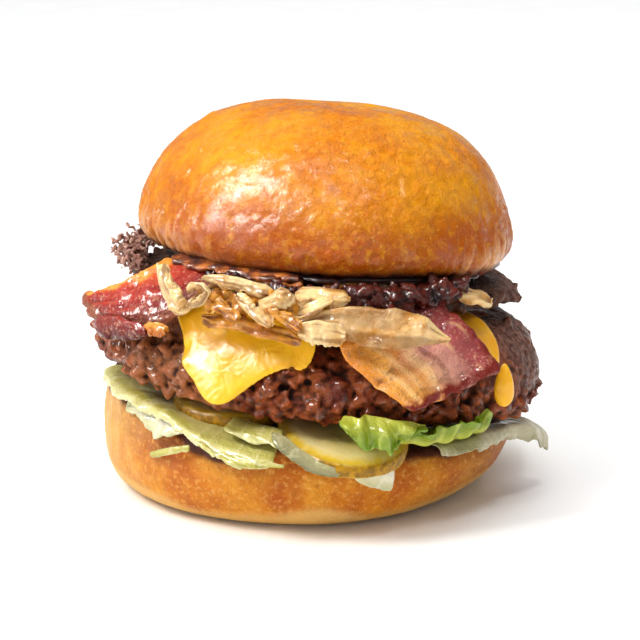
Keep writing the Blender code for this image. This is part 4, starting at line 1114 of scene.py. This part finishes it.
# %% Folds of bacon
FOLD_LINES = ([(-63.0, 63.0, 50.6), (-50.5, 64.6, 53.6), (-41.0, 63.8, 52.8)],
              [(-60.0, 64.0, 47.4), (-49.4, 64.8, 47.6), (-41.0, 63.8, 49.8)])
SCRAP_LINES = ([(-42.0, 63.2, 52.9), (-38.5, 63.4, 53.8), (-35.6, 63.0, 53.0)],
               [(-41.6, 63.2, 51.4), (-38.5, 63.4, 50.8), (-36.0, 63.0, 51.6)])
lean_fold = bacon_finish("bacon_fold_lean", ((0.0, "#8E1A0C"), (1.0, "#3E0A08"), (0.5, "#6E120A")), 0.3,
                         "#3A0A06", "#A83018")
fat_scrap = bacon_finish("bacon_fat_scrap", ((0.0, "#E09A3A"), (1.0, "#A85818"), (0.5, "#D08028")), 0.4,
                         "#7A3410", "#F0C070")
FOLDS = {
    # finish, thickness in mm, and the two edge lines
    "bacon_fold": (lean_fold, 1.6, FOLD_LINES),
    "bacon_scrap": (fat_scrap, 1.4, SCRAP_LINES),
}
for index, (name, (finish, thickness, (first, second))) in enumerate(FOLDS.items()):
    dressed(strip_between(name, first, second, thickness, 0.8, 0.9, 420.0 + index * 7, torn=1.2),
            finish, "bacon")

# %% [markdown]
# ## Lettuce
# The leaves are torn pieces of an outer and an inner leaf. Near the rib they are thick and cream, and
# they thin to a green frilled rim that lets light through. Veins stand out a little on the outside.

# %% Lettuce shapes
LEAF_EDGES = {
    # the line where the leaf is held, and its free rim
    "lettuce_left": (
        [(-86, 55.4, 31.6), (-62, 56.2, 31.6), (-43, 57.4, 30.6), (-28, 58.8, 25.4), (-10, 60.2, 22.0)],
        [(-84, 58.4, 29.2), (-60, 59.0, 29.2), (-40, 59.4, 27.4), (-27, 60.6, 23.2), (-10, 61.4, 20.3)]),
    "lettuce_ragged": (
        [(-61, 55.4, 28.6), (-50, 56.0, 28.0), (-42, 56.6, 27.0), (-34, 57.0, 25.6)],
        [(-60, 57.6, 25.8), (-52, 58.0, 25.4), (-45, 58.4, 21.8), (-36, 58.2, 24.4)]),
    "lettuce_front": (
        [(-24, 55.0, 28.4), (-19, 56.0, 28.0), (-14, 57.0, 27.4), (-9, 57.6, 26.6)],
        [(-24, 57.8, 27.8), (-19, 58.8, 26.6), (-14, 59.8, 25.6), (-9, 60.2, 24.6)]),
    "lettuce_frill": (
        [(7, 58.6, 28.6), (16, 60.2, 26.6), (26, 59.4, 23.8), (36, 58.8, 23.4), (46, 58.0, 23.8)],
        [(7, 60.4, 31.8), (16, 62.2, 29.8), (26, 61.4, 28.2), (36, 60.8, 28.4), (46, 60.2, 29.2)]),
    "lettuce_right": (
        [(31, 56.6, 22.2), (44, 56.8, 22.2), (58, 57.0, 22.0), (68, 59.4, 20.0), (77, 62.6, 15.6)],
        [(31, 58.8, 20.4), (39, 59.6, 19.4), (57, 58.4, 18.8), (68, 60.4, 15.2), (76, 62.2, 9.8)]),
    "lettuce_back_right": (
        [(96, 56.0, 21.6), (114, 56.6, 23.4), (132, 57.0, 25.4), (148, 57.0, 27.0)],
        [(96, 61.0, 19.6), (114, 61.0, 20.8), (132, 60.6, 22.8), (148, 60.0, 25.0)]),
    "lettuce_back_left": (
        [(186, 57.0, 30.4), (204, 57.0, 31.6), (226, 57.0, 32.4), (250, 56.0, 32.0)],
        [(186, 60.6, 27.6), (204, 60.8, 28.6), (226, 60.6, 29.2), (250, 59.6, 29.2)]),
    "lettuce_shred": (
        [(-33, 57.8, 22.8), (-40, 58.2, 20.8), (-48, 57.6, 17.8)],
        [(-33, 58.4, 21.0), (-39, 58.4, 18.8), (-47, 57.4, 16.2)]),
    "lettuce_tip": (
        [(8, 58.6, 17.6), (13, 58.6, 18.0), (19, 58.4, 18.6)],
        [(9, 59.0, 16.0), (14, 58.4, 13.4), (18, 57.8, 12.0)]),
}


def torn_leaf(node, ruffle, ragged, seed):
    """A leaf whose rim is ruffled and torn by some millimetres."""
    piece = fine_copy(node, node + "_torn", 0.34, smoothing=2)
    points = places(piece)
    along, across = between_lines(points, *LEAF_EDGES[node])
    azimuth = azimuth_of(points)
    around = np.stack([azimuth, across * 4.0, np.zeros(len(points))], axis=1)
    rim = eased(0.35, 1.0, across)
    veins = 1.0 - np.abs(grain(around, (2.6, 6.0, 4.0), seed)) * 2.0
    lift = grain(around, (3.6, 5.0, 4.0), seed + 1) * ruffle * rim
    lift = lift + veins * 0.1 + grain(points, 2.4, seed + 2) * 0.12
    outwards = steps_across(along, *LEAF_EDGES[node])
    outwards /= np.linalg.norm(outwards, axis=1)[:, None]
    torn = layered(around, (3.4, 9.0, 9.0), seed + 3, 3) * ragged * eased(0.5, 0.95, across)
    place_all(piece, points + sheet_side(piece) * lift[:, None] + outwards * torn[:, None])
    note_relief(piece, 10)
    note(piece, "veins", veins)
    note(piece, "across", across)
    return piece


# %% [markdown]
# Near the rib a leaf is white, and its blade is green. So the colour runs across the leaf from the
# rib to the rim. A little light passes through, and water leaves it shiny.

# %% Lettuce finishes and leaves
def leaf_finish(name, rib, blade, rim, vein, wet=0.5):
    leaf = Finish(name)
    cloudy = leaf.add("TexNoise", {"Scale": per(6.0), "Detail": 3.0, "Roughness": 0.55})
    crinkles = leaf.add("TexNoise", {"Scale": per(1.6), "Detail": 4.0, "Roughness": 0.65})
    pores = leaf.add("TexNoise", {"Scale": per(0.5), "Detail": 2.0, "Roughness": 0.55})
    shift = leaf.add("Math", {0: cloudy, 1: 0.6, 2: -0.3}, operation="MULTIPLY_ADD")
    shift = leaf.add("Math", {0: shift, 1: "across"}, operation="ADD")
    colour = leaf.add("ValToRGB", {"Fac": shift}, stops=((0.05, rib), (0.95, rim), (0.55, blade)))
    colour = leaf.tinted(colour, (
        ("veins", 0.55, 1.0, 0.5, vein),
        (crinkles, 0.5, 0.75, 0.35, blade)))
    coarse = leaf.add("Bump", {"Height": crinkles, "Distance": 0.6 * MILLIMETRE})
    fine = leaf.add("Bump", {"Height": pores, "Distance": 0.12 * MILLIMETRE, "Normal": coarse})
    leaf.link(leaf.shader, {
        "Base Color": colour, "Roughness": 0.4, "IOR": 1.38, "Specular IOR Level": 0.4,
        "Coat Weight": wet, "Coat Roughness": 0.12, "Normal": fine,
        "Subsurface Weight": 0.2, "Subsurface Scale": 0.002, "Subsurface Radius": (0.8, 1.0, 0.3)})
    return leaf


green_leaf = leaf_finish("green_lettuce", "#BCC03C", "#7E9008", "#6E8E0A", "#C8CC5C")
yellow_leaf = leaf_finish("yellow_green_lettuce", "#C4BC6A", "#A8A034", "#CCC88A", "#D6D098")
pale_leaf = leaf_finish("pale_lettuce", "#B0A848", "#CCC47C", "#E0D9AC", "#DCD6A0")
white_leaf = leaf_finish("white_lettuce_rib", "#DEDAC0", "#D4CFA8", "#BDBD8C", "#EAE6D2")
# A darker copy of the white rib for the leaf on the right: painted shade on the side away from the window.
dull_leaf = leaf_finish("greyish_lettuce_rib", "#C0B798", "#AFA582", "#968E6A", "#CCC4A8")
grey_leaf = leaf_finish("wilted_lettuce", "#A8A070", "#8E885C", "#77754C", "#B8B488")
LEAVES = {
    # ruffle and raggedness in mm, finish, slot
    "lettuce_left": (1.5, 2.0, pale_leaf, "lettuce_pale"),
    "lettuce_ragged": (0.9, 1.8, white_leaf, "lettuce_pale"),
    "lettuce_front": (0.8, 1.2, yellow_leaf, "lettuce_green"),
    "lettuce_frill": (2.8, 2.8, green_leaf, "lettuce_green"),
    "lettuce_right": (1.3, 1.8, dull_leaf, "lettuce_pale"),
    "lettuce_back_right": (1.9, 1.8, green_leaf, "lettuce_green"),
    "lettuce_back_left": (1.3, 1.6, pale_leaf, "lettuce_pale"),
    "lettuce_shred": (0.3, 0.6, yellow_leaf, "lettuce_green"),
    "lettuce_tip": (0.3, 0.6, white_leaf, "lettuce_pale"),
}
for index, (node, (ruffle, ragged, finish, slot)) in enumerate(LEAVES.items()):
    dressed(torn_leaf(node, ruffle, ragged, 80.0 + index * 5), finish, slot, node)

# %% [markdown]
# The frilled leaf hangs lower in the middle, and the long pale leaf has a thin yellow-green layer
# below it. Both are more of the same leaves, laid between two lines.

# %% Hanging parts of the leaves
LOBES = {
    # finish, ruffle and raggedness in mm, the line where the leaf is held, and its free rim
    "frill_lobe": (green_leaf, 2.6, 2.6,
                   [(4.0, 60.6, 32.6), (9.0, 61.0, 33.2), (15.0, 61.2, 32.4), (25.0, 60.6, 30.0)],
                   [(4.6, 61.4, 31.0), (9.0, 63.0, 26.6), (15.5, 63.2, 24.2), (24.6, 61.4, 28.6)]),
    "left_leaf_layer": (yellow_leaf, 0.7, 1.2,
                        [(-30.0, 59.6, 24.6), (-25.0, 60.0, 23.6), (-18.0, 60.6, 22.4), (-8.0, 61.0, 21.4)],
                        [(-29.0, 60.2, 23.8), (-24.0, 61.2, 21.6), (-17.0, 62.0, 19.8), (-8.2, 61.6, 20.4)]),
    "pickle_side_leaf": (grey_leaf, 0.5, 0.6,
                         [(-8.7, 60.5, 29.2), (-5.0, 61.2, 25.6), (-0.4, 61.9, 22.6), (5.3, 62.2, 20.2)],
                         [(-12.3, 60.6, 28.6), (-8.1, 61.6, 24.2), (-3.1, 62.0, 20.4), (3.1, 62.2, 18.0)]),
}
for index, (name, (finish, wrinkle, torn, first, second)) in enumerate(LOBES.items()):
    slot = "lettuce_pale" if finish is pale_leaf else "lettuce_green"
    dressed(strip_between(name, first, second, 0.7, 0.6, wrinkle, 220.0 + index * 7, torn, wave=4.2),
            finish, slot)

# %% [markdown]
# ## Pickles
# A slice of gherkin is a pale green disc with a darker olive skin round its edge. The face shows a
# yellow rim of firm flesh around a softer middle with seeds, and brine leaves it shiny.

# %% Pickles
PICKLES = {
    # azimuth of the slice, its distance from the axis and its radius in mm
    "pickle_front": (7.5, 47.0, 16.5),
    "pickle_left": (-36.0, 38.5, 14.5),
    "pickle_back": (166.0, 44.0, 15.7),
}
FLESH = ((0.2, "#D2C26A"), (1.0, "#B48C08"), (0.5, "#E4D082"), (0.75, "#ECD994"), (0.88, "#D8B42A"))
for index, (node, (azimuth, reach, radius)) in enumerate(PICKLES.items()):
    piece = fine_copy(node, node + "_slice", 0.42, smoothing=4)
    points = places(piece)
    facing = normals(piece)
    middle = line_of([(azimuth, reach, 0.0), (azimuth, reach, 0.0)])[0]
    from_middle = np.hypot(points[:, 0] - middle[0], points[:, 1] - middle[1]) / radius
    relief = grain(points, 7.0, 90.0 + index) * 0.3 + grain(points, 2.2, 93.0 + index) * 0.14
    bowl = -0.5 * eased(0.85, 0.5, from_middle) * np.sign(facing[:, 2])
    thick = 1.5 * eased(0.5, -0.4, facing[:, 2]) * eased(0.55, 0.9, from_middle)
    place_all(piece, points + facing * (relief + bowl)[:, None] - thick[:, None] * (0.0, 0.0, 1.0))
    note(piece, "from_middle", from_middle)
    note(piece, "skin", eased(0.86, 0.55, np.abs(facing[:, 2])) * eased(0.8, 0.9, from_middle))
    gherkin = Finish(node + "_gherkin")
    seeds = gherkin.add("TexNoise", {"Scale": per(2.4), "Detail": 3.0, "Roughness": 0.55})
    mottle = gherkin.add("TexNoise", {"Scale": per(1.5), "Detail": 3.0, "Roughness": 0.55})
    lumps = gherkin.add("TexNoise", {"Scale": per(1.8), "Detail": 4.0, "Roughness": 0.65})
    pores = gherkin.add("TexNoise", {"Scale": per(0.5), "Detail": 2.0, "Roughness": 0.55})
    flesh = gherkin.add("ValToRGB", {"Fac": "from_middle"}, stops=FLESH)
    flesh = gherkin.tinted(flesh, ((seeds, 0.4, 0.7, 0.4, "#E6DA9A"),))
    skin = gherkin.tinted("#86600A", ((mottle, 0.35, 0.65, 1.0, "#B88608"),))
    colour = gherkin.add("Mix", {"Factor": "skin", "A": flesh, "B": skin})
    coarse = gherkin.add("Bump", {"Height": lumps, "Distance": 0.3 * MILLIMETRE})
    fine = gherkin.add("Bump", {"Height": pores, "Distance": 0.06 * MILLIMETRE, "Normal": coarse})
    gherkin.link(gherkin.shader, {
        "Base Color": colour, "Roughness": 0.36, "IOR": 1.38, "Specular IOR Level": 0.2,
        "Coat Weight": 0.3, "Coat Roughness": 0.14, "Normal": fine,
        "Subsurface Weight": 0.15, "Subsurface Scale": 0.003, "Subsurface Radius": (0.9, 1.0, 0.4)})
    dressed(piece, gherkin, "pickle", node)

# %% [markdown]
# ## Loose bits
# Bits of charred onion and beef stick out all round under the crown, and wet onion pulp fills the gap
# above the bacon. They are crumbs again, dropped at random along a band, and each lies half sunk in
# what is behind it.
# Their dark colour is partly char and partly painted shade in the gap under the crown.

# %% Loose bits
def bits(name, stops, count, size, wander, finish, slot, seed):
    """Some crumbs of a size in mm, scattered along a line and wandering from it by some mm."""
    draw = np.random.default_rng(seed)
    line = line_of(stops)
    centres = line[draw.integers(0, len(line), count)] + draw.normal(size=(count, 3)) * wander
    sizes = size * draw.uniform(0.5, 1.4, count)
    piece = crumbs_at(name, centres, sizes, draw, (1.2, 0.5))
    shaped(piece, "REMESH", mode="VOXEL", voxel_size=0.3 * MILLIMETRE)
    shaped(piece, "SMOOTH", factor=0.5, iterations=2)
    points = places(piece)
    place_all(piece, points + normals(piece) * (layered(points, 1.4, seed, 2) * 0.25)[:, None])
    note_relief(piece, 8)
    note(piece, "lines", grain(points, (1.2, 1.2, 4.0), seed))
    note(piece, "loose", np.ones(len(points)))
    dressed(piece, finish, slot)


# These bits are charred, and their colours are also darkened as painted shade for the gap under the crown.
charred = onion_finish("charred_onion_and_beef", "#561A0E", "#280A06", "#100403", 0.8)
bits("charred_bits_front", [(-34, 48.5, 62.6), (-10, 50.0, 60.6), (14, 50.5, 60.2), (44, 49.5, 59.2)], 190,
     1.5, 1.0, charred, "onion", 70)
bits("charred_bits_right", [(6, 53.0, 60.8), (20, 53.6, 60.2), (36, 52.0, 59.8)], 90, 1.7, 1.0,
     charred, "onion", 71)
bits("onion_pulp", [(-30, 55.0, 60.0), (-20, 56.0, 59.0), (-6, 57.0, 57.6)], 60, 1.9, 1.0,
     amber_onion, "onion", 72)
bits("beef_bits_back_left", [(-72, 49.5, 61.6), (-80, 51.0, 64.6), (-90, 50.5, 61.4), (-108, 49.5, 64.4)],
     420, 0.62, 1.7, frayed_beef, "beef_upper", 73)
bits("charred_bits_back", [(112, 47.0, 59.4), (150, 47.5, 60.6), (185, 47.5, 61.5), (235, 47.5, 62.4)],
     260, 1.8, 1.0, charred, "onion", 74)

# %% [markdown]
# The cut face of the crown was toasted until its edge turned dark and ragged. The edge is a thin
# strip under the lip, lighter where it lifts at the left. Elsewhere it is darker still, as painted
# shade under the lip.

# %% Toasted edge
def toasted_finish(name, stops):
    toasted = Finish(name)
    char = toasted.add("TexNoise", {"Scale": per(4.0), "Detail": 5.0, "Roughness": 0.7})
    flakes = toasted.add("TexNoise", {"Scale": per(1.8), "Detail": 5.0, "Roughness": 0.7})
    pores = toasted.add("TexNoise", {"Scale": per(0.5), "Detail": 2.0, "Roughness": 0.55})
    charring = toasted.add("MapRange", {"Value": char, "From Min": 0.36, "From Max": 0.66})
    burnt = toasted.add("ValToRGB", {"Fac": charring}, stops=stops)
    coarse = toasted.add("Bump", {"Height": flakes, "Distance": 0.5 * MILLIMETRE})
    fine = toasted.add("Bump", {"Height": pores, "Distance": 0.08 * MILLIMETRE, "Normal": coarse})
    toasted.link(toasted.shader, {
        "Base Color": burnt, "Roughness": 0.42, "IOR": 1.42, "Coat Weight": 0.5, "Coat Roughness": 0.15,
        "Normal": fine})
    return toasted


crisp_edge = toasted_finish("crisp_bun_edge", ((0.0, "#220A04"), (1.0, "#CA7422"), (0.5, "#78320A")))
# Painted shade: this edge is made darker than the lit one at the left, for the shade under the lip.
burnt_edge = toasted_finish("burnt_bun_edge", ((0.0, "#120503"), (1.0, "#5A200C"), (0.5, "#2E0C06")))


def lip_line(start, end, radius, drop):
    """Stops along the crown's lip, which leans to the right and back, from one azimuth to another."""
    stops = []
    for azimuth in np.linspace(start, end, 12):
        right = radius * math.sin(math.radians(azimuth))
        back = -radius * math.cos(math.radians(azimuth))
        height = CROWN_MIDDLE[2] - drop - 0.07 * right - 0.021 * back
        stops.append((azimuth, radius + CROWN_MIDDLE[0] * math.sin(math.radians(azimuth)), height))
    return stops


LIPS = {
    # azimuths of both ends, radius and drop of the inner line, the same of the outer one, raggedness
    "toasted_lip_left": (-52, -6, 45.0, 0.8, 49.4, 2.2, 2.6),
    "toasted_lip_right": (-12, 64, 42.5, 0.6, 45.2, 2.0, 1.6),
    "toasted_lip_back": (58, 308, 42.0, 0.6, 44.8, 2.0, 1.6),
}
for index, (name, (start, end, inner, inner_drop, outer, outer_drop, torn)) in enumerate(LIPS.items()):
    inner_line = lip_line(start, end, inner, inner_drop)
    outer_line = lip_line(start, end, outer, outer_drop)
    lip = strip_between(name, inner_line, outer_line, 1.4, 0.5, 1.2, 300.0 + index * 9, torn=torn,
                        columns=int(abs(end - start) * 1.6), rows=12)
    dressed(lip, crisp_edge if name == "toasted_lip_left" else burnt_edge, "bun_top")

# %% [markdown]
# A last drop of cheese hangs from the lower slice, below the right rasher. It is a sphere, stretched
# downwards and tapered towards its top.

# %% Drop of cheese
bpy.ops.object.select_all(action="DESELECT")
bpy.ops.mesh.primitive_uv_sphere_add(segments=40, ring_count=28, radius=0.5)
drop = bpy.context.object
drop.name = "cheese_drop"
unit = places(drop) * MILLIMETRE
taper = 1.0 - 0.5 * (unit[:, 2] + 0.5)
drop_middle = line_of([(46.6, 62.8, 36.4), (46.6, 62.8, 36.4)])[0]
DROP_SIZE = (6.4, 4.4, 11.0)
place_all(drop, unit * DROP_SIZE * np.stack([taper, taper, np.ones(len(taper))], axis=1) + drop_middle)
shaped(drop, "SUBSURF", levels=1, render_levels=1)
note_relief(drop, 4)
dressed(drop, cheese_finish("cheese_drop_finish", "#F0B416", "#E0980A", "#C87A0C"), "cheese")

# %% [markdown]
# ## Floor
# A pale matt floor that fills the picture. It is the stage and no part of the burger.

# %% Floor
bpy.ops.object.select_all(action="DESELECT")
bpy.ops.mesh.primitive_plane_add(size=24.0)
floor = bpy.context.object
floor.name = "floor"
paper = Finish("white_paper")
clouds = paper.add("TexNoise", {"Scale": per(60.0), "Detail": 2.0, "Roughness": 0.55})
tint = paper.tinted("#FBFBFB", ((clouds, 0.3, 0.7, 1.0, "#F8F8F8"),))
paper.link(paper.shader, {"Base Color": tint, "Roughness": 0.9})
floor.data.materials.append(paper.material)
floor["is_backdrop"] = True
print("floor", [round(value, 1) for value in floor.dimensions], "m")

# %% [markdown]
# ## Triangles
# The triangles of all shown pieces are counted and printed.

# %% Triangles
bpy.context.view_layer.update()
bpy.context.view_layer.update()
triangles = sum(len(polygon.vertices) - 2 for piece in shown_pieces() for polygon in piece.data.polygons)
print("triangles", triangles)
